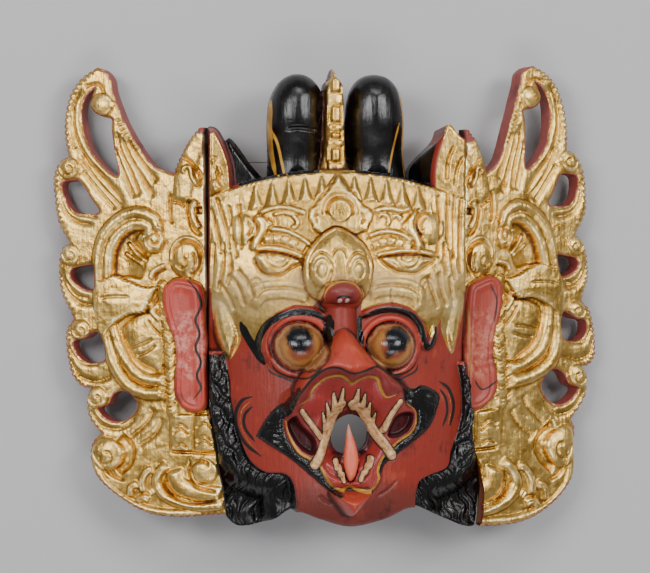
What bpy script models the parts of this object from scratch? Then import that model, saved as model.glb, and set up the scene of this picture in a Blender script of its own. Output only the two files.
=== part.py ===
# Carved wooden mask with two pierced wings
# Millimetres in the drawing, metres in the model. X is the mask's width, Y runs up the face,
# Z comes out of the face. The mask lies on its back rim.
import math

import bmesh
import bpy
import numpy as np

# Sizes in millimetres
SEAM_HALF_WIDTH = 91.5
FACE_HEIGHT = 328.0
FACE_DEPTH = 146.0
WALL = 13.0
WING_THICKNESS = 14.0
WING_SWEEP = 20.0
WING_ROOT_HEIGHT = 58.0
WING_SPAN = 119.0
FIT_GAP = 0.3
HAIR_GAP = 1.2
WIRE_DIAMETER = 0.8
TONGUE_THICKNESS = 7.0

# The drawing's own half width, height, depth and wing span, which the sizes above stretch
DRAWN = (91.5, 328.0, 146.0, 119.0)
KX = SEAM_HALF_WIDTH / DRAWN[0]
KY = FACE_HEIGHT / DRAWN[1]
KZ = FACE_DEPTH / DRAWN[2]
KA = WING_SPAN / DRAWN[3]
SEAM_CLEAR = FIT_GAP / 2

# Mesh sizes
HEAD_PITCH = 2.6
WING_PITCH = 2.3
TONGUE_PITCH = 1.5
HEAD_SHARE = 0.125
WING_SHARE = 0.075
TONGUE_SHARE = 0.12
MM = 0.001
FAR = 900.0


def curve(points, closed=False, per=6):
    """A smooth line through the points, as rows of x and y."""
    p = np.array(points, float)
    if closed:
        spans = len(p)
        p = np.vstack([p[-1:], p, p[:2]])
    else:
        spans = len(p) - 1
        p = np.vstack([2 * p[:1] - p[1:2], p, 2 * p[-1:] - p[-2:-1]])
    t = np.arange(per)[:, None] / per
    rows = []
    for i in range(spans):
        a, b, c, d = p[i:i + 4]
        rows.append(0.5 * (2 * b + (c - a) * t + (2 * a - 5 * b + 4 * c - d) * t ** 2
                           + (3 * b - a - 3 * c + d) * t ** 3))
    if not closed:
        rows.append(p[-2:-1])
    return np.vstack(rows)


def along(x, y, line, reach=12.0):
    """Distance to a line, the share of its length there, and the side (+1 left)."""
    dist = np.full(x.shape, FAR)
    share = np.zeros(x.shape)
    side = np.ones(x.shape)
    low = line.min(0) - reach
    high = line.max(0) + reach
    near = (x > low[0]) & (x < high[0]) & (y > low[1]) & (y < high[1])
    if not near.any():
        return dist, share, side
    px = x[near]
    py = y[near]
    best = np.full(px.shape, FAR ** 2)
    where = np.zeros(px.shape)
    hand = np.ones(px.shape)
    run = 0.0
    for a, b in zip(line[:-1], line[1:]):
        e = b - a
        size = max(float(e @ e), 1e-9)
        length = math.sqrt(size)
        ux = px - a[0]
        uy = py - a[1]
        k = np.clip((ux * e[0] + uy * e[1]) / size, 0.0, 1.0)
        q = (ux - k * e[0]) ** 2 + (uy - k * e[1]) ** 2
        m = q < best
        best[m] = q[m]
        where[m] = run + k[m] * length
        hand[m] = np.where(e[0] * uy[m] - e[1] * ux[m] >= 0, 1.0, -1.0)
        run += length
    dist[near] = np.sqrt(best)
    share[near] = where / run
    side[near] = hand
    return dist, share, side


def region(x, y, line, reach=12.0):
    """Signed distance to a closed line: negative inside."""
    ring = np.vstack([line, line[:1]])
    dist, _, _ = along(x, y, ring, reach)
    near = dist < FAR
    px = x[near]
    py = y[near]
    odd = np.zeros(px.shape, bool)
    for a, b in zip(ring[:-1], ring[1:]):
        if a[1] == b[1]:
            continue
        cross = (a[1] > py) != (b[1] > py)
        odd ^= cross & (px < a[0] + (py - a[1]) * (b[0] - a[0]) / (b[1] - a[1]))
    dist[near] = np.where(odd, -dist[near], dist[near])
    return dist


def step(v):
    """Smooth 0 to 1."""
    v = np.clip(v, 0.0, 1.0)
    return v * v * (3.0 - 2.0 * v)


def quarter(v):
    """A quarter-round rise from 0 to 1."""
    return np.sqrt(1.0 - (1.0 - np.clip(v, 0.0, 1.0)) ** 2)


def bead(x, y, points, width, height, ends=0.0, per=6):
    """A rounded rib along a line; ends is the share over which it tapers."""
    line = curve(points, per=per)
    d, t, _ = along(x, y, line, width + 1)
    f = np.clip(1.0 - (d / width) ** 2, 0.0, 1.0) ** 0.5
    if ends:
        f = f * step(np.minimum(t, 1.0 - t) / ends) ** 0.5
    return height * f


def cut(x, y, points, width, depth, ends=0.15, per=6):
    """A V groove along a line, as a height to take away."""
    line = curve(points, per=per)
    d, t, _ = along(x, y, line, width + 1)
    f = np.clip(1.0 - d / width, 0.0, 1.0)
    if ends:
        f = f * step(np.minimum(t, 1.0 - t) / ends)
    return depth * f


def pad(sd, height, edge, crown=0.0, radius=10.0):
    """A raised area with a sloped edge and a crowned top."""
    f = height * step(-sd / edge)
    if crown:
        f = f + crown * quarter(-sd / radius)
    return f


def ball(x, y, cx, cy, rx, ry, height):
    """A half ellipsoid."""
    q = ((x - cx) / rx) ** 2 + ((y - cy) / ry) ** 2
    return height * np.sqrt(np.clip(1.0 - q, 0.0, 1.0))


def between(a, b, s, n=14):
    """A line a share s of the way from line a to line b."""
    def even(line):
        seg = np.hypot(*np.diff(line, axis=0).T)
        run = np.concatenate([[0.0], np.cumsum(seg)]) / seg.sum()
        k = np.linspace(0, 1, n)
        return np.stack([np.interp(k, run, line[:, 0]), np.interp(k, run, line[:, 1])], 1)
    return (1 - s) * even(curve(a)) + s * even(curve(b))


def over(h, form, lift=0.0):
    """Lays a form on the surface where the form stands."""
    return np.where(form > 0, np.maximum(h, form + lift), h)


WING_BOX = (-20, 126, -166, 170)

# the board's edge, in runs that meet at notches
LEAF_EDGE = [(0, -84), (0, 0), (0, 60), (0, 113), (6, 120), (12, 115), (18, 106), (23, 97), (27, 87)]
FRONT_EDGE = [(27, 87), (42, 93), (52, 105), (63, 123), (68, 134), (73, 147), (75, 157), (80, 163),
              (85, 165)]
CURL_EDGES = [[(85, 165), (97, 158), (106, 146), (110, 130), (110, 114), (107, 100)],
              [(107, 100), (114, 97), (119, 86), (118, 70), (115, 52), (106, 37)],
              [(106, 37), (112, 34), (115, 21), (113, 2), (103, -18)],
              [(103, -18), (109, -26), (109, -40), (105, -58), (97, -67), (89, -68)],
              [(89, -68), (93, -76), (92, -88), (87, -96), (82, -101)],
              [(82, -101), (89, -108), (90, -120), (84, -133), (67, -147), (45, -158), (20, -160),
               (-14, -157)]]
HAIR_EDGE = [(-14, -157), (-12, -140), (-8, -125), (-6, -108), (-3, -92), (0, -84)]
HOLES = [[(87, 150), (95, 142), (97, 128), (92, 108), (84, 97), (75, 88.5), (69, 87.5), (72, 104),
          (74, 120), (74, 127), (80, 129), (86, 132), (90, 138), (89, 145)],
         [(98, 82), (105, 83), (112, 81), (111, 72), (106, 63), (98, 59), (84, 60), (90, 70)],
         [(87, 21), (95, 21), (104, 19), (106, 14), (102, 8), (92, 3), (86, 5), (86, 12)],
         [(86, -27), (94, -32), (103, -34), (102, -41), (97, -47), (90, -50), (79, -47), (79, -35)],
         [(56, -76), (64, -70), (72, -72), (77, -80), (84, -83), (81, -88), (73, -92), (64, -91),
          (56, -84)]]
KNOBS = [(81, 137.5, 8.5), (106.5, 92, 8), (105, 29, 7.5), (97, -26, 7.5), (84.5, -75, 8),
         (77, -116, 12)]
EAR = [(30, 8), (24, 12), (14, 11), (5, 7), (2, -4), (1, -25), (0, -50), (-1, -74), (3, -83),
       (10, -85), (18, -82), (23, -76), (25, -66), (24, -48), (25, -34), (30, -20), (33, -8),
       (33, 3)]
RIB_EDGE = [(31, 48), (35, 54), (43, 61), (54, 63.5), (66, 60), (75.5, 51.5), (83, 41), (85.5, 27),
            (86, 10), (83.5, -12), (79, -33), (73.5, -54), (65, -67), (56, -74), (48, -76),
            (31, -75)]
RIB_GROOVE = [(45, 39), (40, 39), (38, 44), (39.5, 49), (45, 54.5), (54, 56), (66, 52.5), (75.5, 44),
              (81, 30.5), (82, 13), (79.5, -10), (76, -27), (72, -42), (64, -56.5), (55, -64),
              (45, -67), (31, -66.5)]
RIB_INNER = [(46.5, 41.5), (45, 46), (48.5, 50), (57, 48.5), (66, 43), (72.5, 30.5), (72, 15),
             (71, -10), (68, -28), (63, -37), (55.5, -48), (46, -55.5), (31, -58)]
RECESS = [(72, 13), (72.5, 30.5), (66, 43), (57, 48.5), (48.5, 49), (47, 41), (47, 36), (43.5, 29.5),
          (46, 23.5), (50.5, 11), (61, 12)]
POD = [(66, -24), (62, -38), (54, -49), (45, -54), (34, -55), (34, -16), (46, -12), (58, -16)]
FOLD = [(86, 10), (80.5, 10.5), (71, 14.5), (64.5, 12), (57, 9.5), (49, 6), (39, 5.5), (40, 2),
        (42.5, -3.5), (45, -9), (49, -13.5), (59.5, -15), (69.5, -21), (79, -29.5), (83.5, -23.5),
        (86, -11)]
BROAD_FLUTES = [([(96, 150), (102.5, 141), (104, 127.5), (101.5, 113), (93.5, 97.5), (79, 82.5),
                  (63, 64.5)],
                 5.6, 2.6),
                ([(99, 103), (86.5, 84), (73, 70), (63, 61)], 5.4, 2.4),
                ([(66.5, 114.5), (60, 99), (51, 84.5), (41, 68.5)], 5.2, 2.6),
                ([(41.5, -81.5), (46.5, -92), (61, -104.5)], 5.4, 2.6)]


def wing_edge():
    """The board's closed outline."""
    runs = [LEAF_EDGE, FRONT_EDGE] + CURL_EDGES + [HAIR_EDGE]
    return np.vstack([curve(r, per=5)[:-1] for r in runs])


def flute(x, y, points, width, depth):
    """A groove with rounded shoulders, as between two feathers."""
    d, t, _ = along(x, y, curve(points), width + 1)
    return depth * np.clip(1.0 - d / width, 0.0, 1.0) ** 1.5 * step(np.minimum(t, 1.0 - t) / 0.1)


def wing_relief(x, y):
    """Signed distance to the wing's edge, and the height of its carving."""
    sd = region(x, y, wing_edge(), 14.0)
    h = np.zeros(x.shape)
    for hole in HOLES:
        sd = np.maximum(sd, -region(x, y, curve(hole, True), 14.0))

    # long feathers, fluted from the tips down to the scroll
    for line, width, depth in BROAD_FLUTES:
        h -= flute(x, y, line, width, depth)

    # round knobs at the feathers' ends
    for cx, cy, r in KNOBS:
        h = over(h, ball(x, y, cx, cy, r, r, 0.38 * r), 0.4)

    # the great scroll: a double rib, sunk inside, with ribs in its eye
    sunk = region(x, y, curve(RECESS, True))
    shade = step((x - 42.0) / 22.0)
    h -= (1.6 + 4.2 * shade) * step(-sunk / 2.0)
    pod = region(x, y, curve(POD, True))
    h -= 2.6 * step((-pod + 1.0) / 2.0)
    h = over(h, pad(pod, 1.0, 2.4, 3.4, 11.0), -2.4)
    h = over(h, bead(x, y, between(RIB_EDGE, RIB_GROOVE, 0.5), 4.7, 4.6, 0.03, 2), 0.2)
    h = over(h, bead(x, y, between(RIB_GROOVE, RIB_INNER, 0.5), 4.4, 3.8, 0.02, 2), 0.0)
    h = over(h, ball(x, y, 40.5, 38.5, 7.5, 8.5, 4.6), 0.2)

    # folded ribbon leaf across the scroll, its edges pinked
    fold = region(x, y, curve(FOLD, True))
    roll = 6.8 * np.sqrt(np.clip(1.0 - ((x - 70.0) / 36.0) ** 2, 0, 1)) - 0.05 * np.abs(y + 6)
    h = np.where(fold < 0, np.maximum(h, h + (roll - h) * step(-fold / 1.2)), h)

    # bead column and crescents beside the ear
    h = over(h, bead(x, y, [(34, 6), (30, -30), (28, -60), (27, -84)], 4.6, 2.6))
    h = over(h, bead(x, y, [(20.5, -86), (20.5, -112)], 8.6, 2.8, 0.04))
    h = over(h, bead(x, y, [(3, -86), (2, -112)], 8.4, 2.6, 0.04))
    h -= cut(x, y, [(29, -113), (11.5, -113.5), (-6.5, -114.5)], 1.6, 2.2, 0.05)

    # foot: the sunk crescent beside the knob, small leaves, long ridges and a volute
    clear = np.hypot(x - 77, y + 116) > 11.4
    h -= clear * bead(x, y, [(68, -103), (60, -111), (61, -120.5), (69.5, -128.5)], 4.6, 4.0, 0.1)
    petal = [(26, -126), (22, -137), (8, -142), (-10, -144)]
    ridge = [(31, -122), (38, -130), (38.5, -138), (30, -147), (8, -152), (-12, -150)]
    h = over(h, bead(x, y, petal, 6.6, 3.8, 0.08))
    h = over(h, bead(x, y, ridge, 3.6, 4.0, 0.06))
    h = over(h, ball(x, y, 4, -127, 11, 10, 4.2))
    h = over(h, bead(x, y, [(88, -118), (80, -136), (62, -150), (36, -157), (6, -157)], 3.0, 2.4, 0.1))

    # inner leaf above the ear, with its rosette
    h = over(h, bead(x, y, [(7, 112), (13, 100), (18, 84), (20, 66)], 7.0, 1.8, 0.1))
    h = over(h, ball(x, y, 16, 27, 13.5, 15.5, 4.2))

    # the ear, a thick smooth tab
    ear = region(x, y, curve(EAR, True))
    tab = 6.4 * quarter(-ear / 3.4) - 1.1 * step((-ear - 4.5) / 7)
    h = np.where(ear < 0, np.maximum(h, 0) * step((ear + 2) / 2) + tab, h)

    # softened arrises at every edge
    h = h - 1.4 * step((2.2 + sd) / 2.2)
    return sd, h


HEAD_BOX = (-94, 110, -172, 166)
SEAT_Z = 92.0
SEAT_ROOM = 3.0
CX = -2.0
LOBE_Z = 47.0
HOLLOW_DEPTH = 84.0
LOBE_RADIUS = 21.0
SEAM_L = [(-175, 78), (-157, 78.3), (-140, 80.5), (-125, 84), (-108, 86), (-92, 89), (-80, 91.5),
          (130, 91.5)]
SEAM_R = [(-175, 104), (-160, 106), (-140, 107), (-122, 103), (-105, 99), (-96, 98), (-88, 99.5),
          (-76, 97), (-66, 98), (-56, 94), (-48, 91.5), (130, 91.5)]
CHIN = [(-95, -70), (-91, -95), (-88, -120), (-82, -150), (-76, -163), (-66, -168), (-46, -163),
        (-30, -154), (-14, -159), (8, -165), (32, -160), (54, -152), (80, -163), (98, -170),
        (107, -166), (112, -140), (105, -100), (100, -70), (96, -60), (96, 60), (96, 72), (0, 100),
        (-96, 72), (-96, 0)]
LOBE_L = [(-49, 123), (-47, 141), (-40, 154), (-29, 160), (-17, 157), (-9, 146), (-7, 126),
          (-8, 105), (-9, 76), (-30, 74), (-47, 76), (-48, 100)]
LOBE_R = [(8, 123), (10, 144), (17, 156), (28, 160), (40, 157), (48, 146), (51, 128), (51, 105),
          (52, 76), (30, 74), (9, 76), (8, 100)]
CREST = [(-2, 164), (-5, 156), (-8, 152), (-9, 140), (-10, 120), (-11, 100), (-14, 78), (11, 78),
         (8, 100), (7, 120), (6, 140), (5, 152), (1, 156)]
LEAF_L = [(-91, 114), (-87, 111), (-82, 100), (-79, 88), (-78, 70), (-77, 30), (-79, 4), (-100, 0),
          (-100, 100)]
LEAF_R = [(79, 122), (75, 110), (71, 95), (70, 80), (71, 50), (74, 20), (78, 2), (100, 0), (100, 96),
          (88, 112)]
HORN = [(-82, 66), (-80, 104), (-77, 113), (-72, 110), (-61, 95), (-48, 78), (-50, 64)]
PLAQUE = [(-2, 84), (2, 80), (5, 75), (10, 71), (14, 66), (18, 62), (23.5, 57.5), (21.5, 51.5),
          (18, 45), (10, 42), (-14, 42), (-20, 45.5), (-23.5, 52), (-24.5, 58), (-20, 63),
          (-16.5, 67.5), (-12.5, 71), (-9, 76), (-6, 80)]
SNOUT = [(-25, 2), (-28, 17), (-27, 26), (-22, 35), (-15, 42.5), (-9, 46.5), (-4.5, 48), (3, 45.5),
         (12, 39), (18, 32), (21.5, 21), (20, 8), (17, 0), (8, -5), (-14, -5)]
TUSK_L = [(-90, 3), (-88, -22), (-83.7, -37), (-77.9, -46.2), (-72.6, -39.1), (-69.6, -30),
          (-73.3, -16), (-80.2, -1)]
TUSK_R = [(72.7, -22), (76.8, -34), (82.2, -42.5), (85.8, -36), (88.5, -24), (90, -10), (89.5, 1),
          (84, 3), (76, -6)]
EYE_L = (-30, -36, 18.5, 17.5)
EYE_R = (34, -36, 17.5, 17.0)
LID_L = [(-52, -47), (-55, -32), (-49, -19), (-35, -11), (-21, -12), (-10, -17)]
LID_R = [(13, -15), (24, -10), (36, -9), (48, -13), (57, -23), (60, -35), (65, -35), (69, -22)]
LIP_LINE = [(-32.2, -76.6), (-26.0, -72.3), (-22.6, -64.7), (-15.0, -57.7), (-6.7, -55.5),
            (-1.2, -57.2), (3.6, -61.0), (9.1, -58.1), (15.3, -56.1), (21.5, -58.1), (24.3, -65.4),
            (28.4, -70.9), (35.3, -69.6)]
BEAK = [(-3, -24), (-14, -37), (-31, -58), (-36, -74), *LIP_LINE, (42, -65), (34, -56), (18, -42),
        (5, -27)]
MOUTH = [(-33, -76), (-36, -82), (-39.4, -88.5), (-37.4, -97.8), (-30.5, -109.8), (-22.2, -115.2),
         (-15.3, -120.5), (-8.4, -132.5), (-0.9, -136.7), (5.1, -134.5), (10.9, -136.7),
         (20.5, -137.5), (26.0, -129.8), (25.3, -123.1), (28.8, -113.8), (39.8, -103.2),
         (49.4, -97.2), (52.9, -89.8), (52.2, -81.9), (46.0, -76.5), (40, -66), (30, -62),
         (3.6, -56), (-24, -62)]
HOLE = [(6, -84), (-3, -88), (-7, -97), (-6, -106), (0, -112), (10, -112), (17, -107), (19.5, -97),
        (15, -88)]
POCKET_L = [(-33, -84), (-39, -89), (-37, -98), (-30, -108), (-21, -113), (-17.5, -106), (-20, -99),
            (-28, -91)]
POCKET_R = [(36, -86), (43, -82), (51, -83), (51.5, -90), (47, -97), (39, -101), (31, -99)]
JAW = [(-12, -112), (-15, -120), (-8, -129), (4, -133), (17, -131), (21, -122), (20, -111), (4, -108)]
TONGUE = [(5, -91), (7.6, -98), (10.4, -106), (12, -117), (10, -127), (6.2, -131.5), (3.4, -127),
          (1.7, -117), (2.6, -106), (3.6, -98)]
TIP = [(-8.7, -138), (4.5, -137), (20.2, -138), (17.4, -144.1), (6.4, -155.5), (-1.8, -149.4)]
TOOTH_ROWS = [([(-1.5, -76), (-5.1, -82), (-8.6, -92), (-12, -102.6), (-16.2, -113), (-19.2, -119)],
               3.9),
              ([(5.9, -76), (12.8, -80.1), (18.3, -89.3), (24.5, -98.6), (30.7, -106.5),
                (35.5, -113.2)],
               4.0),
              ([(-29.5, -80.5), (-27.9, -83.1), (-22.4, -90.4), (-15.5, -99.5)], 2.5),
              ([(39.6, -74.5), (35.7, -80.4), (32, -87.1), (28.8, -94.4)], 2.9)]
BEARD_L = [(-31.4, -64), (-33.5, -72.4), (-36, -81.7), (-41, -88.4), (-39.5, -97.7), (-32, -110.3),
           (-23, -116.2), (-16, -121.6), (-9, -133.4), (-0.8, -138.6), (-4.5, -140.2),
           (-11.4, -135.9), (-22.4, -126.3), (-33.4, -117.0), (-43.1, -110.3), (-55.5, -102.4),
           (-58.2, -97.7), (-48.6, -81.7), (-40.3, -75)]
BEARD_R = [(36, -57), (49.2, -66.4), (58.2, -64.2), (71.3, -71.1), (69.9, -81.7), (63.7, -94.4),
           (52.0, -103.7), (40.9, -111.0), (32.0, -117.0), (28.3, -124.3), (25.8, -132.3),
           (21, -139), (26.2, -130), (26, -123.5), (29.2, -114.5), (40.3, -104), (49.9, -98),
           (53.8, -90), (53, -81.7), (46, -75.8), (41, -66)]
FACE_L = [(-81, -42), (-77, -61), (-76, -76), (-71, -98), (-64, -116), (-53, -125), (-40, -126),
          (-33, -134), (-30, -156)]
FACE_R = [(87, -50), (90, -65), (91, -83), (88, -97), (82, -112), (79, -124), (64, -129), (56, -135),
          (55, -155)]


def rim(x):
    """The crown's upper edge, a shallow arch."""
    return 86.0 - 0.0021 * (x - CX) ** 2


def seam(y, points):
    """How far out the joint with a wing lies at each height."""
    p = np.array(points, float)
    return np.interp(y, p[:, 0], p[:, 1])


def smooth_interp(v, keys, values):
    """Values between keys, without kinks."""
    line = curve(list(zip(keys, values)), per=6)
    return np.interp(v, line[:, 0], line[:, 1])


def head_relief(x, y):
    """Signed distance to the block's outline, and the height of its carving."""
    block = np.maximum(region(x, y, curve(CHIN, True), 16.0), y - rim(x) - 3.0)
    leaf_l = region(x, y, curve(LEAF_L, True), 24.0)
    leaf_r = region(x, y, curve(LEAF_R, True), 24.0)
    horn = region(x, y, curve(HORN, True))
    lobe_l = region(x, y, curve(LOBE_L, True), 30.0)
    lobe_r = region(x, y, curve(LOBE_R, True), 30.0)
    crest = region(x, y, curve(CREST, True), 14.0)
    skirt_l = leaf_l - 7.0 * step((y - 60) / 10)
    skirt_r = leaf_r - 15.0 * step((y - 60) / 10) * step((118 - y) / 30)
    sd = np.minimum.reduce([block, skirt_l, skirt_r, horn, lobe_l, lobe_r, crest])
    sd = np.maximum(sd, -x - seam(y, SEAM_L) + SEAM_CLEAR)
    sd = np.maximum(sd, x - seam(y, SEAM_R) + SEAM_CLEAR)
    sd = np.maximum(sd, -region(x, y, curve(HOLE, True), 16.0))

    # the general form: a barrel for the crown, rounder for the face
    zc = smooth_interp(y, [-175, -155, -125, -85, -45, 0, 40, 75, 100, 130],
                       [70, 88, 99, 103, 103, 102, 99, 93, 84, 76])
    u = np.abs(x - CX) / 90.0
    v = np.abs(x - 4) / 90.0
    low = step((10 - y) / 50)
    h = zc - (1 - low) * 20.0 * u ** 2.4 - low * 42.0 * v ** 2.3
    back = y - rim(x)
    top = np.full(x.shape, 30.0)
    top = np.where(horn < 0.8, 44.0 + 4 * step(-horn / 5), top)

    # side leaves with a bevelled inner edge
    lift = 78.0 + 0.03 * (y - 60)
    for leaf, wide in ((leaf_l, 7.0), (leaf_r, 15.0)):
        slope = np.where(leaf < 0, lift, lift - 34.0 * step(leaf / wide))
        top = np.where((leaf < wide + 0.8) & (back > 0), np.maximum(top, slope), top)
        side = lift + 2.0 * step(-leaf / 3) - 40 * step(leaf / 2) - 12 * low
        h = np.where((leaf < 2) & (back <= 0), np.maximum(h, side), h)

    # crown front
    plaque = region(x, y, curve(PLAQUE, True))
    snout = region(x, y, curve(SNOUT, True), 25.0)
    h = h + pad(plaque, 3.0, 2.0, 2.0, 12)
    h = h + ball(x, y, CX, 59, 9, 9, 4.0)
    h = h + pad(snout, 2.5, 2.0, 13.0, 22)
    for sgn in (-1, 1):
        high = [(CX + sgn * 50, 44), (CX + sgn * 38, 44), (CX + sgn * 22, 36)]
        low_rib = [(CX + sgn * 57, 31), (CX + sgn * 42, 32), (CX + sgn * 26, 26)]
        h = h + bead(x, y, high, 3.2, 2.4, 0.15) + bead(x, y, low_rib, 3.0, 2.4, 0.15)
        h = h + ball(x, y, CX + sgn * 46, 21, 16, 7, 4.5)
        h = h + ball(x, y, CX + sgn * 61, 46, 5, 9, 3.0)
        h = h + ball(x, y, CX - 1.5 + sgn * 13, 18, 8, 11, 4.0)

    # gilded drops at the temples
    for line in (TUSK_L, TUSK_R):
        drop = region(x, y, curve(line, True))
        swell = 70 + 12 * quarter(-drop / 7) - 8 * step(drop / 2) + 0.1 * y
        h = np.where(drop < 2, np.maximum(h, swell), h)

    # hair columns at both sides
    line_l = curve(FACE_L)
    line_r = curve(FACE_R)
    d, _, s = along(x, y, line_l, 70.0)
    hair_l = np.where((y < -40) & (x < 0), d * s, FAR)
    d2, _, s2 = along(x, y, line_r, 70.0)
    hair_r = np.where((y < -48) & (x > 0), -d2 * s2, FAR)
    for hair in (hair_l, hair_r):
        f = -hair
        inside = hair < 0
        lock = 62.0 - 14 * step((-118 - y) / 40)
        tube = lock + 6.0 * np.sqrt(np.clip(1 - ((f - 9) / 14.0) ** 2, 0, 1))
        tube = tube - 8 * step((f - 12) / 14)
        h = np.where(inside, h + (tube - h) * step(f / 1.8), h)

    # forehead bump and bridge of the beak
    h = h + ball(x, y, -2, -1, 16, 11, 16)
    h = h + ball(x, y, -1, -4.5, 4.5, 3.5, 1.5)
    h = over(h, bead(x, y, [(-2, -4), (-1, -30), (0, -48)], 11.0, 14.0), 100.0)

    # eyeballs in their sockets with heavy upper lids
    for (cx, cy, rx, ry), lid in ((EYE_L, LID_L), (EYE_R, LID_R)):
        q = np.sqrt(((x - cx) / rx) ** 2 + ((y - cy) / ry) ** 2)
        ring = np.clip(1 - ((q - 1.16) / 0.16) ** 2, 0, 1) ** 0.5
        h = h + 3.0 * ring
        h = np.where(q < 1.02, 97.0, h)
        h = np.where(q < 1.0, 97.0 + 20.0 * np.sqrt(np.clip(1 - q * q, 0, 1)), h)
        h = h + bead(x, y, lid, 3.2, 4.0, 0.08) * (q > 1.02)

    # the gums round the mouth, carried up under the lip
    mouth = region(x, y, curve(MOUTH, True), 30.0)
    lip = 121.0 - 0.24 * (-60 - y) - 0.006 * (x - 5) ** 2
    lip = np.clip(lip, 96, 126)
    hole = region(x, y, curve(HOLE, True), 40.0)
    fall, _, _ = along(x, y, curve(LIP_LINE), 18.0)
    gum = 8.0 * step(1.0 - fall / 17.0)
    floor = lip - 3.0 + gum - 14.0 * step((13.0 - hole) / 13.0)
    h = np.maximum(h, h + (floor - h) * step((13.0 - fall) / 9.0))

    # the beak over the open mouth
    beak = region(x, y, curve(BEAK, True), 20.0)
    reach = np.hypot(x * 0.75, (y + 50) * 1.0)
    cone = 146.0 - 0.72 * reach
    cone = cone - 3.0 * np.exp(-((x - 0.5) / 4.0) ** 2) * step((-50 - y) / 8)
    rise = quarter(-beak / 9.0)
    h = np.where(beak < 0, np.maximum(h, h + (cone - h) * rise), h)

    # the mouth: gums round the hole, pockets, jaw
    mouth_in = np.maximum(mouth, -beak)
    h = np.where(mouth_in < 0, h + (floor - h) * step(-mouth_in / 2.6), h)
    h = h + bead(x, y, MOUTH[:20], 1.9, 2.0)
    for line in (POCKET_L, POCKET_R):
        pocket = region(x, y, curve(line, True))
        h = h - 10.0 * step(-pocket / 3.5)
    jaw = region(x, y, curve(JAW, True))
    h = h - 4.0 * step(-jaw / 4.0)

    # teeth along the gums and in the jaw
    for line, width in TOOTH_ROWS:
        h = h + bead(x, y, line, width, 3.4)

    # flat seat that the tongue is let into
    seat = region(x, y, curve(TONGUE, True))
    h = np.where((seat < SEAT_ROOM + 1.0) & (y < -100),
                 np.minimum(h, SEAT_Z + 40 * step((seat - SEAT_ROOM) / 1.0)), h)
    h = np.where((seat < SEAT_ROOM) & (y < -112), SEAT_Z, h)

    # lower beak tip
    tip = region(x, y, curve(TIP, True), 14.0)
    point = 128 - 0.3 * np.abs(x - 6)
    h = h + (point - h) * quarter(-tip / 8.0) * (tip < 0)

    # moustache and beard
    for line in (BEARD_L, BEARD_R):
        beard = region(x, y, curve(line, True))
        h = h + pad(beard, 2.2, 2.0)
    # creases at both sides of the chin
    h -= cut(x, y, [(25.8, -142.2), (32.7, -138.3), (40, -131)], 1.4, 2.0)
    h -= cut(x, y, [(-15.5, -140.9), (-11.4, -144.9), (-5.2, -147.6)], 1.4, 1.8)

    # behind the rim: ledge, lobes and crest
    for lobe, r in ((lobe_l, LOBE_RADIUS), (lobe_r, LOBE_RADIUS + 0.5)):
        top = np.where(lobe < 0.8, LOBE_Z + r * quarter(-lobe / r), top)
    ridge = 60.0 + 12.0 * np.sqrt(np.clip(1 - ((x - CX) / 12.0) ** 2, 0, 1))
    top = np.where(crest < 0.8, np.maximum(top, 50 + (ridge - 50) * step(-crest / 2.0)), top)
    for cy in (131, 117, 104):
        top = over(top, np.where(crest < 0, 1, 0) * ball(x, y, CX, cy, 4, 4, 3.0) + 0.0, 70.0)
    ledge = 82.0 - 14 * u ** 2
    top = np.where(back < 3.0, np.maximum(top, ledge), top)
    h = np.where(back > 0, h + (top - h) * step(back / 1.4), h)
    h = h - 1.2 * step((1.5 + sd) / 1.5)
    return sd, h


def hollow(x, y, h, wall):
    """The back: a flat rim, the hollow for the wearer's face, and the topknot's rear."""
    s = np.maximum(region(x, y, curve(CHIN, True), 80.0), y - rim(x) - 3.0)
    s = np.maximum(s, -x - seam(y, SEAM_L) + SEAM_CLEAR)
    s = np.maximum(s, x - seam(y, SEAM_R) + SEAM_CLEAR)
    back = y - rim(x)
    e = (-s - wall) / 44.0
    dome = HOLLOW_DEPTH * quarter(e)
    b = np.minimum(dome, h - 0.8 * wall)
    lobe_l = region(x, y, curve(LOBE_L, True), 30.0)
    lobe_r = region(x, y, curve(LOBE_R, True), 30.0)
    crest = region(x, y, curve(CREST, True))
    top = np.full(x.shape, 22.0)
    top = np.where(crest < 0.8, 36.0, top)
    for lobe in (lobe_l, lobe_r):
        below = LOBE_Z - 2.0 - 0.8 * LOBE_RADIUS * quarter(-lobe / LOBE_RADIUS)
        top = np.where(lobe < 0.8, below, top)
    b = b + (top - b) * step((back - 3.0) / 1.6)
    return np.minimum(b, h - 1.6)


SEAM_FREE = -84.0
TONGUE_BOX = (-3, 15, -135, -88)
WIRE_POINTS = 6
WIRE_FROM = (-61.4, 96.5, 33.0)
WIRE_TO = (-48.6, 96.0, 42.0)
LEAN_Y = [-170, -158, -140, -116, -100, -74, -27, 30, 60, 92, 140, 170]
LEAN_OUT = [12, 12, 13, 7, 13, 16, 3, -7, -8, -14, -22, -23]
LEAN_UP = [-10, -9, -4, 3, 8, 14, 14, 7, 7, 7, 8, 3]


def lean(a, y):
    """The right wing was cut freehand: its feathers sit a little differently."""
    weight = step((a - 4.0) / 62.0)
    low = np.maximum(weight, step((-112.0 - y) / 30.0))
    return (a + smooth_interp(y, LEAN_Y, LEAN_OUT) * weight,
            y + smooth_interp(y, LEAN_Y, LEAN_UP) * low)


def tongue_face(x, y):
    """Share of the tongue's thickness: crowned across, thinner to its tip."""
    edge = -region(x, y, curve(TONGUE, True))
    crown = 0.45 + 0.55 * quarter(edge / 4.5)
    return crown * (1.0 - 0.45 * step((y + 112.0) / 22.0))


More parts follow.
